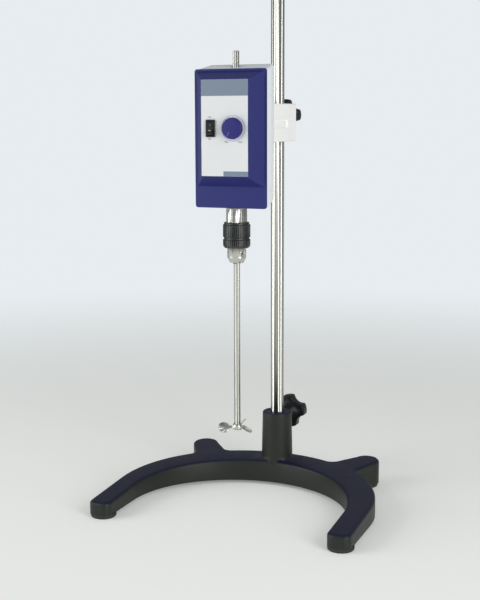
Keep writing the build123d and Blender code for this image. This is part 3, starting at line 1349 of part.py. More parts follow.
save(chuck_sleeve, "chuck_sleeve")

with BuildPart() as chuck_nut:
    with BuildSketch(level(CHUCK_TOP - NUT_DROP)):
        with Locations(shaft_spot):
            Circle(relief_r)
            Circle(sleeve_bore_r, mode=Mode.SUBTRACT)
    extrude(amount=-NUT_HEIGHT)
save(chuck_nut, "chuck_nut")

for number, turn in enumerate(jaw_turns):
    outward = (cos(radians(turn)), sin(radians(turn)), 0)
    grip_r = ROD_D / 2 + JAW_GRIP_GAP
    grip_origin = (grip_r * outward[0], SHAFT_Y + grip_r * outward[1], jaw_tip_z)
    with BuildPart() as chuck_jaw:
        with BuildSketch(jaw_plane(turn).offset(-JAW_D)):
            Circle(JAW_D / 2)
        extrude(amount=JAW_D + JAW_LENGTH)
        split(bisect_by=Plane(origin=grip_origin, z_dir=outward), keep=Keep.TOP)
        split(bisect_by=level(jaw_tip_z), keep=Keep.TOP)
    save(chuck_jaw, "chuck_jaw_" + str(number + 1))

# Stirring rod, and the three-bladed propeller on its lower end.
with BuildPart() as stirring_rod:
    with BuildSketch(level(ROD_END)):
        with Locations(shaft_spot):
            Circle(ROD_D / 2)
    extrude(amount=ROD_LENGTH)
    chamfer(stirring_rod.edges().filter_by(GeomType.CIRCLE), length=ROD_CHAMFER)
save(stirring_rod, "stirring_rod")

blade_z = ROD_END + BLADE_RISE
with BuildPart() as propeller:
    with BuildSketch(level(blade_z - PROP_HUB_H / 2)):
        with Locations(shaft_spot):
            Circle(PROP_HUB_D / 2)
    extrude(amount=PROP_HUB_H)
    chamfer(propeller.edges().filter_by(GeomType.CIRCLE), length=ROD_CHAMFER)
    for number in range(BLADE_COUNT):
        turn = radians(BLADE_FIRST_ANGLE + 360 / BLADE_COUNT * number)
        outward = (cos(turn), sin(turn), 0)
        pitch = radians(BLADE_PITCH)
        facing = (-sin(turn) * sin(pitch), cos(turn) * sin(pitch), cos(pitch))
        blade_centre = (BLADE_CENTRE_R * outward[0], SHAFT_Y + BLADE_CENTRE_R * outward[1], blade_z)
        with BuildSketch(Plane(origin=blade_centre, x_dir=outward, z_dir=facing)):
            Circle(BLADE_D / 2)
            neck_length = BLADE_CENTRE_R - PROP_HUB_D / 2 + PROP_HUB_D / 4
            with Locations((-neck_length / 2, 0)):
                Rectangle(neck_length, BLADE_NECK)
        extrude(amount=BLADE_THICK / 2, both=True)
    with BuildSketch(level(blade_z - PROP_HUB_H / 2)):
        with Locations(shaft_spot):
            Circle(ROD_D / 2)
    extrude(amount=PROP_HUB_H, mode=Mode.SUBTRACT)
save(propeller, "propeller")
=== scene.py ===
"""Looks of a laboratory overhead stirrer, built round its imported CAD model.

Laid out as a Blender add-on and run as a script. Lengths are metres, +Z is up and the control
panel faces -Y.
"""

import json
import math

import bpy
from bpy.props import FloatProperty, FloatVectorProperty, IntProperty, PointerProperty
from mathutils import Matrix, Vector

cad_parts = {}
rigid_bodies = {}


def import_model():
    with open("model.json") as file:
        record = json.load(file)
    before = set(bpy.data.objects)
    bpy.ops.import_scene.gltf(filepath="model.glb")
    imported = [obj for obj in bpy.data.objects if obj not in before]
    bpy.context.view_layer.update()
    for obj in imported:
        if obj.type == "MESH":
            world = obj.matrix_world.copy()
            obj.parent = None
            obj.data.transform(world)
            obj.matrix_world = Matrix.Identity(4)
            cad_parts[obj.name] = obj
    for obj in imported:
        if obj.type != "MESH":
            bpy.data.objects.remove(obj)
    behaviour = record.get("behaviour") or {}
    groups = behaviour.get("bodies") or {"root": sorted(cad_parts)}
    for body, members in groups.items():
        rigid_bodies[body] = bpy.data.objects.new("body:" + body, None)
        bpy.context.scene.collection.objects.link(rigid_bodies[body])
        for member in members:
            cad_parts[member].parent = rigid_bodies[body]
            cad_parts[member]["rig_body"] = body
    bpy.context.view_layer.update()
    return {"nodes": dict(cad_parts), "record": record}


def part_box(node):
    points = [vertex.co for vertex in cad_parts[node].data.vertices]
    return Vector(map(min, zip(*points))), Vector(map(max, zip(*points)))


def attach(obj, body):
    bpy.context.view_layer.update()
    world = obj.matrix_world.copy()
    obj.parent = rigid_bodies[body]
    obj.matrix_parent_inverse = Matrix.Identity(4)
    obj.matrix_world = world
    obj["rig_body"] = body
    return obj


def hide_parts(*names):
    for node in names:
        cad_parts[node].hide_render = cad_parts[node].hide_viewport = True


bl_info = {
    "name": "Overhead stirrer",
    "version": (1, 0, 0),
    "blender": (4, 5, 0),
    "location": "3D View > Sidebar > Stirrer",
    "description": "Dresses the packed model of a laboratory overhead stirrer",
    "category": "Object",
}

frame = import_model()
NODES = frame["nodes"]
MM = 0.001

PANEL_LOW, PANEL_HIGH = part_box("control_panel")
KNOB_LOW, KNOB_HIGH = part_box("speed_knob")
SWITCH_LOW, SWITCH_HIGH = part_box("switch_housing")
SLEEVE_LOW, SLEEVE_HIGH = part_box("chuck_sleeve")
SHAFT_Y = (SLEEVE_LOW.y + SLEEVE_HIGH.y) / 2
PANEL_Y = PANEL_LOW.y
CONTROL_Z = (KNOB_LOW.z + KNOB_HIGH.z) / 2
KNOB_X = (KNOB_LOW.x + KNOB_HIGH.x) / 2
SWITCH_X = (SWITCH_LOW.x + SWITCH_HIGH.x) / 2

# Camera: a photograph 600 pixels high, with a focal length of 1147.3 pixels on a 36 mm sensor
PHOTO_HEIGHT = 600
FOCAL_PIXELS = 1147.3
SENSOR = 36.0

# Panel print: where the words stand from the middle of the switch and of the speed knob
BAND_MARGIN = 0.1 * MM
SWITCH_WORDS_SHIFT = -1.4 * MM
ON_RISE = 11.8 * MM
OFF_RISE = -11.4 * MM
SCALE_WORDS_RISE = -14.4 * MM
MIN_SHIFT = -7.8 * MM
MAX_SHIFT = 8.2 * MM

# Speed knob's pointer, as it stands at rest
POINTER_HALF_WIDTH = 0.35 * MM
POINTER_PROUD = 0.08 * MM
POINTER_RIM = 1.6 * MM
POINTER_TURN = math.radians(120)

# Rocker's marks: its two faces lean by the dish angle either side of its tilt
ROCKER_TILT = math.radians(-12)
ROCKER_DISH = math.radians(12.2)
MARK_RISE = 3.3 * MM
MARK_FORWARD = 2.92 * MM
MARK_HEIGHT = 2.6 * MM
MARK_DEPTH = 0.12 * MM

# Chuck's sleeve, measured down from its top and in from its outer radius
SLEEVE_BORE = 11.7 * MM
SLEEVE_RELIEF = 1.6 * MM
RELIEF_TOP_DROP = 10.4 * MM
RELIEF_FOOT_DROP = 25 * MM
COLLAR_DROP = 2.2 * MM
COLLAR_INSET = 1.2 * MM
END_INSET = 1.9 * MM
SLEEVE_EDGE = 0.7 * MM
MID_DROP = 9 * MM
GROOVE_DROP = 17.7 * MM
GROOVE_HALF = 0.9 * MM
GROOVE_DEPTH = 1.1 * MM
TEETH_HEIGHT = 1.9 * MM
TEETH_INSET = 0.4 * MM
TOOTH_GAP_RISE = 1.2 * MM
TOOTH_GAP_REACH = 2.2 * MM
NEAR_SURFACE = 0.3 * MM
RIB_COLUMNS = 6
RIB_GAP_SQUEEZE = 0.952


# Settings that a user would change


def colour(name, description, value):
    """Colour property with a default."""
    return FloatVectorProperty(
        name=name, description=description, subtype="COLOR", size=3, min=0, max=1, default=value
    )


def length(name, description, value):
    """Length property in metres with a default."""
    return FloatProperty(name=name, description=description, subtype="DISTANCE", unit="LENGTH", default=value)


class StirrerColours(bpy.types.PropertyGroup):
    """Colours of the stirrer's finishes."""

    cover_blue: colour("Front cover", "Moulded blue front cover", (0.016, 0.021, 0.135))
    casing_white: colour("Casing", "White rear casing", (0.85, 0.88, 0.90))
    clamp_white: colour("Clamp", "White powder coat of the pole clamp", (0.96, 0.96, 0.94))
    panel_grey: colour("Panel", "Pale film of the control panel", (0.64, 0.65, 0.66))
    band_blue: colour("Panel bands", "Grey-blue bands printed on the panel", (0.160, 0.203, 0.265))
    print_dark: colour("Print", "Dark printing on the panel", (0.02, 0.022, 0.035))
    knob_violet: colour("Speed knob", "Blue-violet speed knob", (0.019, 0.019, 0.145))
    enamel_side: colour("Base", "Black enamel of the base casting", (0.015, 0.0185, 0.0135))
    # Painted reflection: the bluer colour laid on the base's upward faces stands for a reflection, not for
    # the enamel's own colour.
    enamel_top: colour("Base top", "Bluer enamel of the base's upper faces", (0.005, 0.006, 0.028))
    steel: colour("Stainless", "Stainless steel of the pole and rod", (0.60, 0.60, 0.55))


class StirrerSizes(bpy.types.PropertyGroup):
    """Sizes of the pieces that the scene adds."""

    header_height: length("Header", "Height of the panel's upper band", 17.0 * MM)
    strip_height: length("Strip", "Height of the panel's lower band", 5.2 * MM)
    strip_left: length("Strip start", "X at which the lower band starts", -1.4 * MM)
    scale_radius: length("Scale ring", "Radius of the ring printed round the knob", 13.6 * MM)
    scale_width: length("Scale ring width", "Width of that ring", 0.5 * MM)
    letter_height: length("Letters", "Height of the panel's lettering", 2.2 * MM)
    print_thickness: length("Print", "Thickness of the printed pieces", 0.06 * MM)
    pointer_length: length("Pointer", "Length of the line inlaid in the speed knob", 5.5 * MM)
    sleeve_ribs: IntProperty(name="Sleeve ribs", description="Grip ribs round the chuck's sleeve", default=40)


class StirrerStage(bpy.types.PropertyGroup):
    """Camera and light."""

    camera_spot: FloatVectorProperty(
        name="Camera", description="Camera's place", subtype="XYZ", unit="LENGTH",
        default=(0.47563, -1.22755, 0.45026),
    )
    camera_aim: FloatVectorProperty(
        name="Aim", description="Point in the middle of the picture", subtype="XYZ", unit="LENGTH",
        default=(-0.04139, 0.05485, 0.23046),
    )
    camera_roll: FloatProperty(
        name="Roll", description="Camera's roll", subtype="ANGLE", default=math.radians(-0.203)
    )
    ambient: FloatProperty(name="Ambient", description="Strength of the surrounding light", default=0.30)
    softbox_power: FloatProperty(
        name="Softboxes", description="Power of each side softbox", unit="POWER", default=34
    )
    background: colour("Background", "Pale background behind the object", (0.80, 0.84, 0.87))


# Shader maths as Python expressions


class Signal:
    """A value or colour that changes over a surface: a socket that Python's operators combine."""

    def __init__(self, paint, socket):
        self.paint = paint
        self.socket = socket

    def math(self, operation, *values):
        """One Math node."""
        return self.paint.node("ShaderNodeMath", {"operation": operation}, *values)

    def __add__(self, other):
        return self.math("ADD", self, other)

    def __mul__(self, other):
        return self.math("MULTIPLY", self, other)

    __radd__ = __add__
    __rmul__ = __mul__

    def above(self, edge, softness):
        """0 below edge and 1 above it, with a soft step of that width."""
        low, high = edge - softness / 2, edge + softness / 2
        return self.paint.node("ShaderNodeMapRange", {"interpolation_type": "SMOOTHSTEP"}, self, low, high)


class Paint:
    """One material: its shader, and methods that add the nodes behind it."""

    def __init__(self, name, **shader_values):
        self.material = bpy.data.materials.new(name)
        self.material.use_nodes = True
        self.tree = self.material.node_tree
        self.shader = self.tree.nodes["Principled BSDF"]
        for socket, value in shader_values.items():
            self.set(socket.replace("_", " "), value)

    def node(self, kind, settings, *values, output=0, **named):
        """Add a node, give it its settings, then its inputs, and return one of its outputs."""
        node = self.tree.nodes.new(kind)
        for setting, value in settings.items():
            setattr(node, setting, value)
        for index, value in enumerate(values):
            self.feed(node.inputs[index], value)
        for socket, value in named.items():
            self.feed(node.inputs[socket.replace("_", " ")], value)
        return Signal(self, node.outputs[output])

    def feed(self, socket, value):
        """Link a signal into a socket, or write a value there."""
        if isinstance(value, Signal):
            self.tree.links.new(value.socket, socket)
        elif socket.type == "RGBA":
            socket.default_value = (*value, 1)
        else:
            socket.default_value = value

    def set(self, socket, value):
        """Set one of the shader's sockets."""
        self.feed(self.shader.inputs[socket], value)

    def place(self):
        """Object coordinates."""
        return self.node("ShaderNodeTexCoord", {}, output="Object")

    def squeezed_place(self, scale):
        """Object coordinates, scaled apart along the axes."""
        return self.node("ShaderNodeMapping", {}, Vector=self.place(), Scale=scale)

    def upward(self):
        """How far the surface faces up."""
        normal = self.node("ShaderNodeNewGeometry", {}, output="Normal")
        return self.node("ShaderNodeSeparateXYZ", {}, normal, output="Z")

    def noise(self, scale, detail, vector=None):
        """Noise from 0 to 1."""
        spot = vector or self.place()
        return self.node("ShaderNodeTexNoise", {}, Vector=spot, Scale=scale, Detail=detail, output="Fac")

    def cells(self, scale):
        """Distance to the nearest of a spread of points."""
        return self.node("ShaderNodeTexVoronoi", {}, Vector=self.place(), Scale=scale)

    def mix(self, share, first, second):
        """Mix two colours."""
        node = self.tree.nodes.new("ShaderNodeMix")
        node.data_type = "RGBA"
        self.feed(node.inputs[0], share)
        self.feed(node.inputs[6], first)
        self.feed(node.inputs[7], second)
        return Signal(self, node.outputs[2])

    def shaded(self, base, lighter, darker, scale):
        """A colour that drifts a little lighter and darker over the surface."""
        light = tuple(min(1, value * lighter) for value in base)
        dark = tuple(value * darker for value in base)
        return self.mix(self.noise(scale, detail=3), dark, light)

    def bump(self, height, strength, depth):
        """Give the shader a relief."""
        sizes = {"Strength": strength, "Distance": depth}
        self.set("Normal", self.node("ShaderNodeBump", {}, Height=height, output="Normal", **sizes))

    def worn_edges(self, base, edge):
        """Base colour with an edge colour where the surface is sharply convex."""
        convex = self.node("ShaderNodeNewGeometry", {}, output="Pointiness")
        return self.mix(convex.above(edge=0.57, softness=0.07), base, edge)


def enamel_paint(colours):
    """Black textured enamel, with a painted blue reflection mixed in where it faces up."""
    paint = Paint("black_enamel", Specular_IOR_Level=0.28)
    # Painted reflection: faces that point up are mixed towards a bluer colour that stands in for a
    # reflection, not for the enamel's own colour.
    reflection_share = paint.upward().above(edge=0.55, softness=0.7)
    ground = paint.mix(reflection_share, tuple(colours.enamel_side), tuple(colours.enamel_top))
    specks = paint.noise(scale=900, detail=4)
    paint.set("Base Color", paint.mix(specks * 0.12, ground, (0.045, 0.048, 0.052)))
    orange_peel = paint.noise(scale=520, detail=3) * 0.7 + paint.noise(scale=1500, detail=2) * 0.3
    paint.set("Roughness", 0.34 + orange_peel * 0.22)
    paint.bump(orange_peel, strength=0.35, depth=0.6 * MM)
    return paint.material


def steel_paint(name, base, roughness, grain):
    """Drawn or ground steel with fine lines along Z."""
    paint = Paint(name, Metallic=1.0)
    lines = paint.noise(scale=1, detail=4, vector=paint.squeezed_place((700, 700, grain)))
    drift = paint.noise(scale=18, detail=2)
    dark = tuple(value * 0.90 for value in base)
    paint.set("Base Color", paint.mix(lines * 0.6 + drift * 0.4, dark, base))
    paint.set("Roughness", roughness - 0.02 + lines * 0.04)
    return paint.material


def turned_steel_paint(name, base, roughness):
    """Turned steel with faint rings round Z."""
    paint = Paint(name, Metallic=1.0)
    rings = paint.noise(scale=1, detail=3, vector=paint.squeezed_place((40, 40, 1600)))
    drift = paint.noise(scale=160, detail=2)
    dark = tuple(value * 0.82 for value in base)
    paint.set("Base Color", paint.mix(rings * 0.5 + drift * 0.5, dark, base))
    paint.set("Roughness", roughness + rings * 0.05)
    return paint.material


def moulding_paint(name, base, roughness, grain=1500, relief=0.12, drift=0.06, shine=0.4):
    """Moulded plastic with a fine spark-eroded grain."""
    paint = Paint(name, Specular_IOR_Level=shine)
    paint.set("Base Color", paint.shaded(base, 1 + drift, 1 - drift, scale=22))
    texture = paint.noise(grain, detail=4)
    paint.set("Roughness", roughness - 0.04 + texture * 0.10)
    paint.bump(texture, relief, depth=0.2 * MM)
    return paint.material


def powder_coat_paint(name, base, roughness):
    """Powder coat: a soft orange peel over metal."""
    paint = Paint(name)
    peel = paint.noise(scale=420, detail=3)
    paint.set("Base Color", paint.shaded(base, 1.02, 0.97, scale=30))
    paint.set("Roughness", roughness + peel * 0.08)
    paint.set("Coat Weight", 0.1)
    paint.bump(peel, strength=0.10, depth=0.3 * MM)
    return paint.material


def film_paint(name, base, roughness=0.42):
    """Printed polycarbonate film with a fine velvet texture."""
    paint = Paint(name)
    velvet = paint.cells(scale=2200)
    paint.set("Base Color", paint.shaded(base, 1.015, 0.985, scale=40))
    paint.set("Roughness", roughness + velvet * 0.10)
    paint.bump(velvet, strength=0.06, depth=0.1 * MM)
    return paint.material


def rubber_paint():
    """Black rubber with a dusty bloom."""
    paint = Paint("black_rubber")
    bloom = paint.noise(scale=260, detail=4)
    paint.set("Base Color", paint.mix(bloom, (0.012, 0.012, 0.013), (0.04, 0.04, 0.042)))
    paint.set("Roughness", 0.62 + bloom * 0.25)
    paint.bump(bloom, strength=0.25, depth=0.4 * MM)
    return paint.material


def black_oxide_paint():
    """Blackened steel of the chuck's sleeve, brighter on its worn edges."""
    paint = Paint("black_oxide", Metallic=0.85)
    mottling = paint.noise(scale=420, detail=3)
    base = paint.mix(mottling, (0.030, 0.034, 0.032), (0.075, 0.082, 0.078))
    paint.set("Base Color", paint.worn_edges(base, (0.22, 0.22, 0.21)))
    paint.set("Roughness", 0.34 + mottling * 0.16)
    paint.bump(mottling, strength=0.12, depth=0.1 * MM)
    return paint.material


def circuit_board_paint():
    """Green solder mask with paler copper tracks under it."""
    paint = Paint("board_green", Roughness=0.35)
    tracks = paint.cells(scale=420).above(edge=0.42, softness=0.05)
    paint.set("Base Color", paint.mix(tracks, (0.012, 0.11, 0.045), (0.03, 0.22, 0.09)))
    paint.bump(tracks, strength=0.2, depth=0.1 * MM)
    return paint.material


def nylon_paint():
    """Natural nylon, slightly waxy."""
    paint = Paint("gear_nylon", Subsurface_Weight=0.05)
    clouds = paint.noise(scale=90, detail=3)
    paint.set("Base Color", paint.mix(clouds, (0.72, 0.69, 0.60), (0.80, 0.78, 0.70)))
    paint.set("Roughness", 0.42 + clouds * 0.12)
    return paint.material


def brass_paint():
    """Machined brass."""
    paint = Paint("brass", Metallic=1.0)
    turning = paint.noise(scale=900, detail=3)
    paint.set("Base Color", paint.mix(turning, (0.52, 0.37, 0.13), (0.70, 0.52, 0.22)))
    paint.set("Roughness", 0.26 + turning * 0.12)
    return paint.material


def floor_paint():
    """Pale floor that keeps the object's shadow and fades into the background away from it."""
    paint = Paint("pale_floor", Base_Color=(0.88, 0.89, 0.86), Roughness=0.8, Specular_IOR_Level=0.1)
    paint.set("Emission Color", (0.90, 0.93, 0.88))
    paint.set("Emission Strength", 0.22)
    away = paint.node("ShaderNodeVectorMath", {"operation": "LENGTH"}, paint.place(), output="Value")
    clear = paint.node("ShaderNodeBsdfTransparent", {})
    fade = away.above(edge=1.1, softness=1.4)
    blended = paint.node("ShaderNodeMixShader", {}, fade, Signal(paint, paint.shader.outputs[0]), clear)
    output = paint.tree.nodes["Material Output"]
    paint.tree.links.new(blended.socket, output.inputs["Surface"])
    return paint.material


PAINTS = {}


def mix_paints(colours):
    """Make every material once."""
    steel = tuple(colours.steel)
    PAINTS.update(
        black_enamel=enamel_paint(colours),
        stainless=steel_paint("stainless", steel, 0.34, 9),
        black_rubber=rubber_paint(),
        zinc_steel=turned_steel_paint("zinc_steel", (0.56, 0.56, 0.53), 0.30),
        black_knob=moulding_paint("black_knob", (0.008, 0.010, 0.012), 0.30, 1100, 0.1, shine=0.2),
        brass=brass_paint(),
        white_paint=powder_coat_paint("white_paint", tuple(colours.clamp_white), 0.34),
        bush_plastic=moulding_paint("bush_plastic", (0.60, 0.60, 0.57), 0.45),
        white_casing=moulding_paint("white_casing", tuple(colours.casing_white), 0.40, 1300, 0.12, 0.02),
        blue_casing=moulding_paint("blue_casing", tuple(colours.cover_blue), 0.36, 1500, 0.10, shine=0.35),
        panel_grey=film_paint("panel_grey", tuple(colours.panel_grey)),
        band_print=film_paint("band_print", tuple(colours.band_blue)),
        dark_print=film_paint("dark_print", tuple(colours.print_dark), 0.5),
        pale_print=film_paint("pale_print", (0.80, 0.80, 0.82), 0.5),
        pointer_print=film_paint("pointer_print", (0.11, 0.10, 0.34), 0.5),
        ring_print=film_paint("ring_print", (0.30, 0.31, 0.62), 0.5),
        knob_violet=moulding_paint("knob_violet", tuple(colours.knob_violet), 0.38, 1500, 0.15, shine=0.3),
        switch_black=moulding_paint("switch_black", (0.012, 0.012, 0.013), 0.24, 1800, 0.06),
        board_green=circuit_board_paint(),
        frame_aluminium=turned_steel_paint("frame_aluminium", (0.62, 0.63, 0.64), 0.38),
        bearing_steel=turned_steel_paint("bearing_steel", (0.60, 0.60, 0.62), 0.16),
        gear_nylon=nylon_paint(),
        motor_can=steel_paint("motor_can", (0.36, 0.37, 0.38), 0.36, 30),
        chuck_steel=turned_steel_paint("chuck_steel", (0.66, 0.65, 0.62), 0.24),
        black_oxide=black_oxide_paint(),
    )


# Modelling helpers


def deselect():
    """Leave edit mode and select nothing."""
    if bpy.context.object and bpy.context.object.mode != "OBJECT":
        bpy.ops.object.mode_set(mode="OBJECT")
    bpy.ops.object.select_all(action="DESELECT")


def take(piece):
    """Make a piece the only selected and active one."""
    deselect()
    piece.select_set(True)
    bpy.context.view_layer.objects.active = piece
    return piece


def new_piece(name):
    """Name the object that an operator has just added."""
    piece = bpy.context.object
    piece.name = name
    piece.data.name = name
    return piece


def edit(piece, chosen=None):
    """Enter edit mode with all points selected, or those whose place passes a test."""
    take(piece)
    bpy.ops.object.mode_set(mode="EDIT")
    bpy.ops.mesh.select_mode(type="VERT")
    bpy.ops.mesh.select_all(action="DESELECT" if chosen else "SELECT")
    if chosen:
        bpy.ops.object.mode_set(mode="OBJECT")
        for point in piece.data.vertices:
            point.select = chosen(point.co)
        bpy.ops.object.mode_set(mode="EDIT")


def apply_place(piece):
    """Put a piece's place, turn and size into its mesh."""
    take(piece)
    bpy.ops.object.transform_apply(location=True, rotation=True, scale=True)


def bevel(piece, width, segments, angle=30):
    """Round a piece's sharp edges for good."""
    take(piece)
    modifier = piece.modifiers.new("edge", "BEVEL")
    modifier.width = width
    modifier.segments = segments
    modifier.limit_method = "ANGLE"
    modifier.angle_limit = math.radians(angle)
    modifier.miter_outer = "MITER_ARC"
    bpy.ops.object.modifier_apply(modifier=modifier.name)


def weigh_normals(piece):
    """Keep large flat faces flat to the eye beside their rounded edges."""
    take(piece)
    modifier = piece.modifiers.new("flat_faces", "WEIGHTED_NORMAL")
    modifier.keep_sharp = True
    modifier.weight = 80
    bpy.ops.object.modifier_apply(modifier=modifier.name)


def face_outwards(piece):
    """Merge doubles and turn every face outwards."""
    edit(piece)
    bpy.ops.mesh.remove_doubles(threshold=1e-6)
    bpy.ops.mesh.normals_make_consistent(inside=False)
    bpy.ops.object.mode_set(mode="OBJECT")


def settle(piece, paint, body, replaced=(), angle=32):
    """Finish a piece: its place, shading, paint, body and material slot."""
    apply_place(piece)
    bpy.ops.object.shade_smooth_by_angle(angle=math.radians(angle))
    piece.data.materials.clear()
    piece.data.materials.append(PAINTS[paint])
    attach(piece, body)
    if replaced:
        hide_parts(*replaced)
    return piece


def finished_copy(node, paint, soften):
    """A smooth-shaded copy of a CAD node, with its sharp edges softened where that is asked."""
    source = NODES[node]
    deselect()
    piece = bpy.data.objects.new(node + "_finish", source.data.copy())
    bpy.context.scene.collection.objects.link(piece)
    edit(piece)
    bpy.ops.mesh.remove_doubles(threshold=2e-6)
    if soften:
        bpy.ops.mesh.dissolve_limited(angle_limit=math.radians(0.6))
    bpy.ops.object.mode_set(mode="OBJECT")
    if soften:
        bevel(piece, soften, segments=2, angle=28)
    settle(piece, paint, source["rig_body"], (node,))
    if soften:
        weigh_normals(piece)
    return piece


def box_piece(name, low, high):
    """A cube primitive stretched between two corners."""
    deselect()
    low, high = Vector(low), Vector(high)
    bpy.ops.mesh.primitive_cube_add(size=1, location=(low + high) / 2)
    piece = new_piece(name)
    piece.scale = high - low
    apply_place(piece)
    return piece


def ring_piece(name, centre, inner, outer, depth):
    """An upright flat ring from a circle: extruded inwards, then to its depth."""
    deselect()
    bpy.ops.mesh.primitive_circle_add(vertices=96, radius=outer)
    piece = new_piece(name)
    edit(piece)
    bpy.ops.mesh.extrude_edges_move()
    share = inner / outer
    bpy.ops.transform.resize(value=(share, share, share))
    bpy.ops.mesh.select_all(action="SELECT")
    bpy.ops.mesh.extrude_region_move(TRANSFORM_OT_translate={"value": (0, 0, depth)})
    bpy.ops.object.mode_set(mode="OBJECT")
    piece.rotation_euler = (math.pi / 2, 0, 0)
    piece.location = centre
    apply_place(piece)
    face_outwards(piece)
    return piece


def lettering(name, words, height, thickness, matrix):
    """Raised lettering as a mesh, its face along the matrix's Z."""
    deselect()
    bpy.ops.object.text_add()
    piece = new_piece(name)
    piece.data.body = words
    piece.data.size = height
    piece.data.align_x = "CENTER"
    piece.data.align_y = "CENTER"
    piece.data.extrude = thickness / 2
    piece.data.resolution_u = 4
    bpy.ops.object.convert(target="MESH")
    piece.matrix_world = matrix
    apply_place(piece)
    face_outwards(piece)
    return piece


def turned_piece(name, profile, steps, axis_y):
    """Draw a profile of (radius, height) points, back to its first one, and spin it round a vertical axis."""
    points = [Vector((radius, axis_y, height)) for radius, height in profile]
    deselect()
    bpy.ops.mesh.primitive_plane_add(size=MM)
    piece = new_piece(name)
    edit(piece)
    bpy.ops.mesh.merge(type="CENTER")
    bpy.ops.transform.translate(value=points[0])
    for start, end in zip(points, points[1:] + points[:1]):
        bpy.ops.mesh.extrude_region_move(TRANSFORM_OT_translate={"value": end - start})
    edit(piece)
    bpy.ops.mesh.spin(steps=steps, angle=2 * math.pi, center=(0, axis_y, 0), axis=(0, 0, 1))
    bpy.ops.object.mode_set(mode="OBJECT")
    face_outwards(piece)
    return piece


SLOT_OF = {entry["node"]: entry["material_slot"] for entry in frame["record"]["subparts"]}
SMOOTHED = (
    "base_casting", "support_pole", "front_cover", "rear_shell", "clamp_arm", "clamp_block",
    "base_lock_knob", "base_lock_stud", "clamp_lock_knob", "clamp_lock_stud", "upper_clamp_bush",
    "lower_clamp_bush", "chuck_body", "hollow_spindle", "stirring_rod", "propeller", "speed_knob",
    "cable_gland", "rubber_foot_front_left", "rubber_foot_front_right", "rubber_foot_rear_left",
    "rubber_foot_rear_right", "chuck_jaw_1", "chuck_jaw_2", "chuck_jaw_3", "power_rocker",
    "switch_housing", "control_panel",
)
SOFTENED = {
    "front_cover": 0.5 * MM,
    "rear_shell": 0.4 * MM,
    "clamp_arm": 0.3 * MM,
    "clamp_block": 0.3 * MM,
    "power_rocker": 0.25 * MM,
    "switch_housing": 0.15 * MM,
}


class StirrerOperator:
    """What every piece's operator shares."""

    bl_options = {"REGISTER", "UNDO"}

    def execute(self, context):
        self.build(context.scene.stirrer_sizes)
        return {"FINISHED"}


class STIRRER_OT_paints(bpy.types.Operator):
    """Make the materials and paint every CAD node"""

    bl_idname = "stirrer.paints"
    bl_label = "Paints"

    def execute(self, context):
        mix_paints(context.scene.stirrer_colours)
        for node, piece in NODES.items():
            for slot in piece.material_slots:
                slot.material = PAINTS[SLOT_OF[node]]
        return {"FINISHED"}


class STIRRER_OT_mouldings(StirrerOperator, bpy.types.Operator):
    """Smooth copies of the CAD nodes that show"""

    bl_idname = "stirrer.mouldings"
    bl_label = "Castings, mouldings and turned parts"

    def build(self, sizes):
        for node in SMOOTHED:
            finished_copy(node, SLOT_OF[node], SOFTENED.get(node, 0.0))


class STIRRER_OT_panel_print(StirrerOperator, bpy.types.Operator):
    """Bands, scale ring and lettering on the control panel"""

    bl_idname = "stirrer.panel_print"
    bl_label = "Panel print"

    def build(self, sizes):
        front = PANEL_Y - sizes.print_thickness
        back = PANEL_Y + sizes.print_thickness / 2
        left, right = PANEL_LOW.x + BAND_MARGIN, PANEL_HIGH.x - BAND_MARGIN
        top, foot = PANEL_HIGH.z - BAND_MARGIN, PANEL_LOW.z + BAND_MARGIN
        header = box_piece("panel_header", (left, front, top - sizes.header_height), (right, back, top))
        strip_top = foot + sizes.strip_height
        strip = box_piece("panel_strip", (sizes.strip_left, front, foot), (right, back, strip_top))
        for band in (header, strip):
            settle(band, "band_print", "head")
        centre = (KNOB_X, back, CONTROL_Z)
        inner = sizes.scale_radius - sizes.scale_width
        ring = ring_piece("scale_ring", centre, inner, sizes.scale_radius, back - front)
        settle(ring, "ring_print", "head")
        facing = Matrix.Rotation(math.pi / 2, 4, "X")
        words = (
            ("letters_on", "ON", SWITCH_X + SWITCH_WORDS_SHIFT, CONTROL_Z + ON_RISE),
            ("letters_off", "OFF", SWITCH_X + SWITCH_WORDS_SHIFT, CONTROL_Z + OFF_RISE),
            ("letters_min", "MIN", KNOB_X + MIN_SHIFT, CONTROL_Z + SCALE_WORDS_RISE),
            ("letters_max", "MAX", KNOB_X + MAX_SHIFT, CONTROL_Z + SCALE_WORDS_RISE),
        )
        for name, word, x, z in words:
            spot = Matrix.Translation((x, PANEL_Y, z))
            label = lettering(name, word, sizes.letter_height, 2 * sizes.print_thickness, spot @ facing)
            settle(label, "dark_print", "head")


class STIRRER_OT_speed_pointer(StirrerOperator, bpy.types.Operator):
    """Pointer line inlaid in the speed knob's face"""

    bl_idname = "stirrer.speed_pointer"
    bl_label = "Speed knob's pointer"

    def build(self, sizes):
        outer = (KNOB_HIGH.x - KNOB_LOW.x) / 2 - POINTER_RIM
        low = (outer - sizes.pointer_length, -POINTER_PROUD, -POINTER_HALF_WIDTH)
        line = box_piece("pointer_line", low, (outer, POINTER_PROUD, POINTER_HALF_WIDTH))
        turn = Matrix.Rotation(POINTER_TURN, 4, "Y")
        line.matrix_world = Matrix.Translation((KNOB_X, KNOB_LOW.y, CONTROL_Z)) @ turn
        apply_place(line)
        bevel(line, POINTER_PROUD, segments=1)
        settle(line, "pointer_print", "speed_control")


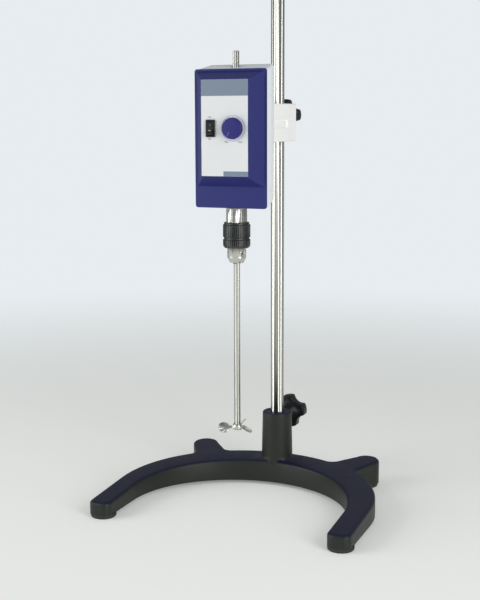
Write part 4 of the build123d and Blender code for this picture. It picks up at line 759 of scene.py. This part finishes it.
class STIRRER_OT_rocker_marks(StirrerOperator, bpy.types.Operator):
    """The line and ring moulded in the rocker's two halves"""

    bl_idname = "stirrer.rocker_marks"
    bl_label = "Rocker's marks"

    def build(self, sizes):
        tilt = Matrix.Rotation(ROCKER_TILT, 4, "X")
        rocker = Matrix.Translation((SWITCH_X, PANEL_Y, CONTROL_Z)) @ tilt
        for name, word, side in (("mark_on", "I", 1), ("mark_off", "O", -1)):
            lean = Matrix.Rotation(math.pi / 2 - side * ROCKER_DISH, 4, "X")
            face = Matrix.Translation((0, -MARK_FORWARD, side * MARK_RISE)) @ lean
            mark = lettering(name, word, MARK_HEIGHT, 2 * MARK_DEPTH, rocker @ face)
            settle(mark, "pale_print", "power_switch")


class STIRRER_OT_chuck_sleeve(StirrerOperator, bpy.types.Operator):
    """Ribbed and blackened sleeve of the chuck, with its key teeth"""

    bl_idname = "stirrer.chuck_sleeve"
    bl_label = "Chuck sleeve"

    def build(self, sizes):
        top, foot = SLEEVE_HIGH.z, SLEEVE_LOW.z
        outer = (SLEEVE_HIGH.x - SLEEVE_LOW.x) / 2
        shoulder = outer - COLLAR_INSET
        end = outer - END_INSET
        groove = top - GROOVE_DROP
        groove_top, groove_foot = groove + GROOVE_HALF, groove - GROOVE_HALF
        groove_floor = outer - GROOVE_DEPTH
        relief = SLEEVE_BORE + SLEEVE_RELIEF
        relief_top, relief_foot = top - RELIEF_TOP_DROP, top - RELIEF_FOOT_DROP
        teeth_top = foot + TEETH_HEIGHT
        collar_foot = top - COLLAR_DROP
        profile = (
            (SLEEVE_BORE, top), (end, top), (shoulder, top - SLEEVE_EDGE), (shoulder, collar_foot),
            (outer, collar_foot - SLEEVE_EDGE), (outer, top - MID_DROP), (outer, groove_top + SLEEVE_EDGE),
            (groove_floor, groove_top), (groove_floor, groove_foot), (outer, groove_foot - SLEEVE_EDGE),
            (outer, teeth_top + 2 * SLEEVE_EDGE), (outer - TEETH_INSET, teeth_top), (end, foot),
            (SLEEVE_BORE, foot), (SLEEVE_BORE, relief_foot), (relief, relief_foot), (relief, relief_top),
            (SLEEVE_BORE, relief_top),
        )
        sleeve = turned_piece("ribbed_sleeve", profile, sizes.sleeve_ribs * RIB_COLUMNS, SHAFT_Y)
        column_turn = 2 * math.pi / sizes.sleeve_ribs / RIB_COLUMNS

        def column(spot):
            """Number of the column that a point of the sleeve stands in."""
            return round(math.atan2(spot.y - SHAFT_Y, spot.x) / column_turn)

        def radius(spot):
            """Distance of a point from the shaft's axis."""
            return math.hypot(spot.x, spot.y - SHAFT_Y)

        def in_rib_gap(spot):
            """Points on the ribbed bands, in the columns between two ribs."""
            in_band = collar_foot - 1.2 * SLEEVE_EDGE > spot.z > teeth_top + SLEEVE_EDGE
            near_groove = abs(spot.z - groove) < GROOVE_HALF + SLEEVE_EDGE / 2
            on_surface = radius(spot) > outer - NEAR_SURFACE
            return on_surface and in_band and not near_groove and column(spot) % RIB_COLUMNS in (2, 3)

        def in_tooth_gap(spot):
            """Points of the lower rim, in the columns between two teeth."""
            on_rim = radius(spot) > outer - TOOTH_GAP_REACH and spot.z < foot + NEAR_SURFACE
            return on_rim and column(spot) % (2 * RIB_COLUMNS) < RIB_COLUMNS

        edit(sleeve, in_rib_gap)
        squeeze = (RIB_GAP_SQUEEZE, RIB_GAP_SQUEEZE, 1)
        bpy.ops.transform.resize(value=squeeze, center_override=(0, SHAFT_Y, groove))
        edit(sleeve, in_tooth_gap)
        bpy.ops.transform.translate(value=(0, 0, TOOTH_GAP_RISE))
        bpy.ops.object.mode_set(mode="OBJECT")
        settle(sleeve, "black_oxide", "chuck_collar", ("chuck_sleeve",), angle=40)


class STIRRER_OT_stage(bpy.types.Operator):
    """Floor, world, softboxes and camera"""

    bl_idname = "stirrer.stage"
    bl_label = "Stage"

    def execute(self, context):
        stage = context.scene.stirrer_stage
        deselect()
        bpy.ops.mesh.primitive_circle_add(vertices=96, radius=4, fill_type="NGON")
        floor = new_piece("floor")
        floor.data.materials.append(floor_paint())
        self.fill_world(context, stage)
        aim = Vector((0, SHAFT_Y, 0.30))
        for name, direction, distance, size in (
            ("left_softbox", (-0.80, -0.60, 0.10), 2.0, (1.5, 2.2)),
            ("right_softbox", (0.84, -0.54, 0.12), 2.0, (1.0, 2.2)),
        ):
            spot = aim + distance * Vector(direction).normalized()
            bpy.ops.object.light_add(type="AREA", location=spot)
            lamp = context.object
            lamp.name = name
            lamp.data.shape = "RECTANGLE"
            lamp.data.size, lamp.data.size_y = size
            lamp.data.energy = stage.softbox_power
            lamp.rotation_euler = (aim - spot).to_track_quat("-Z", "Y").to_euler()
            lamp.visible_camera = False
        self.add_camera(context, stage)
        return {"FINISHED"}

    def fill_world(self, context, stage):
        """Plain surrounding light; the camera sees the pale background."""
        world = bpy.data.worlds.new("surroundings")
        context.scene.world = world
        world.use_nodes = True
        nodes, links = world.node_tree.nodes, world.node_tree.links
        nodes.clear()
        around = nodes.new("ShaderNodeBackground")
        around.inputs["Color"].default_value = (0.95, 0.98, 1.0, 1)
        around.inputs["Strength"].default_value = stage.ambient
        seen = nodes.new("ShaderNodeBackground")
        seen.inputs["Color"].default_value = (*stage.background, 1)
        path = nodes.new("ShaderNodeLightPath")
        either = nodes.new("ShaderNodeMixShader")
        output = nodes.new("ShaderNodeOutputWorld")
        links.new(path.outputs["Is Camera Ray"], either.inputs[0])
        links.new(around.outputs[0], either.inputs[1])
        links.new(seen.outputs[0], either.inputs[2])
        links.new(either.outputs[0], output.inputs["Surface"])

    def add_camera(self, context, stage):
        """Camera that sees what the photograph shows."""
        spot = Vector(stage.camera_spot)
        aim = Vector(stage.camera_aim)
        bpy.ops.object.camera_add(location=spot)
        camera = context.object
        look = (aim - spot).to_track_quat("-Z", "Y").to_matrix().to_4x4()
        roll = Matrix.Rotation(stage.camera_roll, 4, "Z")
        camera.matrix_world = Matrix.Translation(spot) @ look @ roll
        camera.data.sensor_width = SENSOR
        camera.data.sensor_fit = "AUTO"
        camera.data.lens = FOCAL_PIXELS / PHOTO_HEIGHT * SENSOR
        camera.data.clip_end = 20
        context.scene.camera = camera
        context.scene.view_settings.view_transform = "Standard"


class STIRRER_PT_pieces(bpy.types.Panel):
    """Lists the stirrer's pieces"""

    bl_idname = "STIRRER_PT_pieces"
    bl_label = "Overhead stirrer"
    bl_space_type = "VIEW_3D"
    bl_region_type = "UI"
    bl_category = "Stirrer"

    def draw(self, context):
        column = self.layout.column()
        for operator in BUILDERS:
            column.operator(operator.bl_idname)
        scene = context.scene
        for group in (scene.stirrer_colours, scene.stirrer_sizes, scene.stirrer_stage):
            for setting in group.bl_rna.properties.keys():
                if setting not in ("rna_type", "name"):
                    column.prop(group, setting)


BUILDERS = (
    STIRRER_OT_paints,
    STIRRER_OT_mouldings,
    STIRRER_OT_panel_print,
    STIRRER_OT_speed_pointer,
    STIRRER_OT_rocker_marks,
    STIRRER_OT_chuck_sleeve,
    STIRRER_OT_stage,
)
CLASSES = (StirrerColours, StirrerSizes, StirrerStage, *BUILDERS, STIRRER_PT_pieces)


def register():
    """Register the classes and their settings."""
    for entry in CLASSES:
        bpy.utils.register_class(entry)
    bpy.types.Scene.stirrer_colours = PointerProperty(type=StirrerColours)
    bpy.types.Scene.stirrer_sizes = PointerProperty(type=StirrerSizes)
    bpy.types.Scene.stirrer_stage = PointerProperty(type=StirrerStage)


def unregister():
    """Take the classes and their settings away."""
    del bpy.types.Scene.stirrer_colours
    del bpy.types.Scene.stirrer_sizes
    del bpy.types.Scene.stirrer_stage
    for entry in reversed(CLASSES):
        bpy.utils.unregister_class(entry)


def main():
    """Build every piece in order."""
    register()
    bpy.ops.stirrer.paints()
    bpy.ops.stirrer.mouldings()
    bpy.ops.stirrer.panel_print()
    bpy.ops.stirrer.speed_pointer()
    bpy.ops.stirrer.rocker_marks()
    bpy.ops.stirrer.chuck_sleeve()
    bpy.ops.stirrer.stage()


if __name__ == "__main__":
    main()
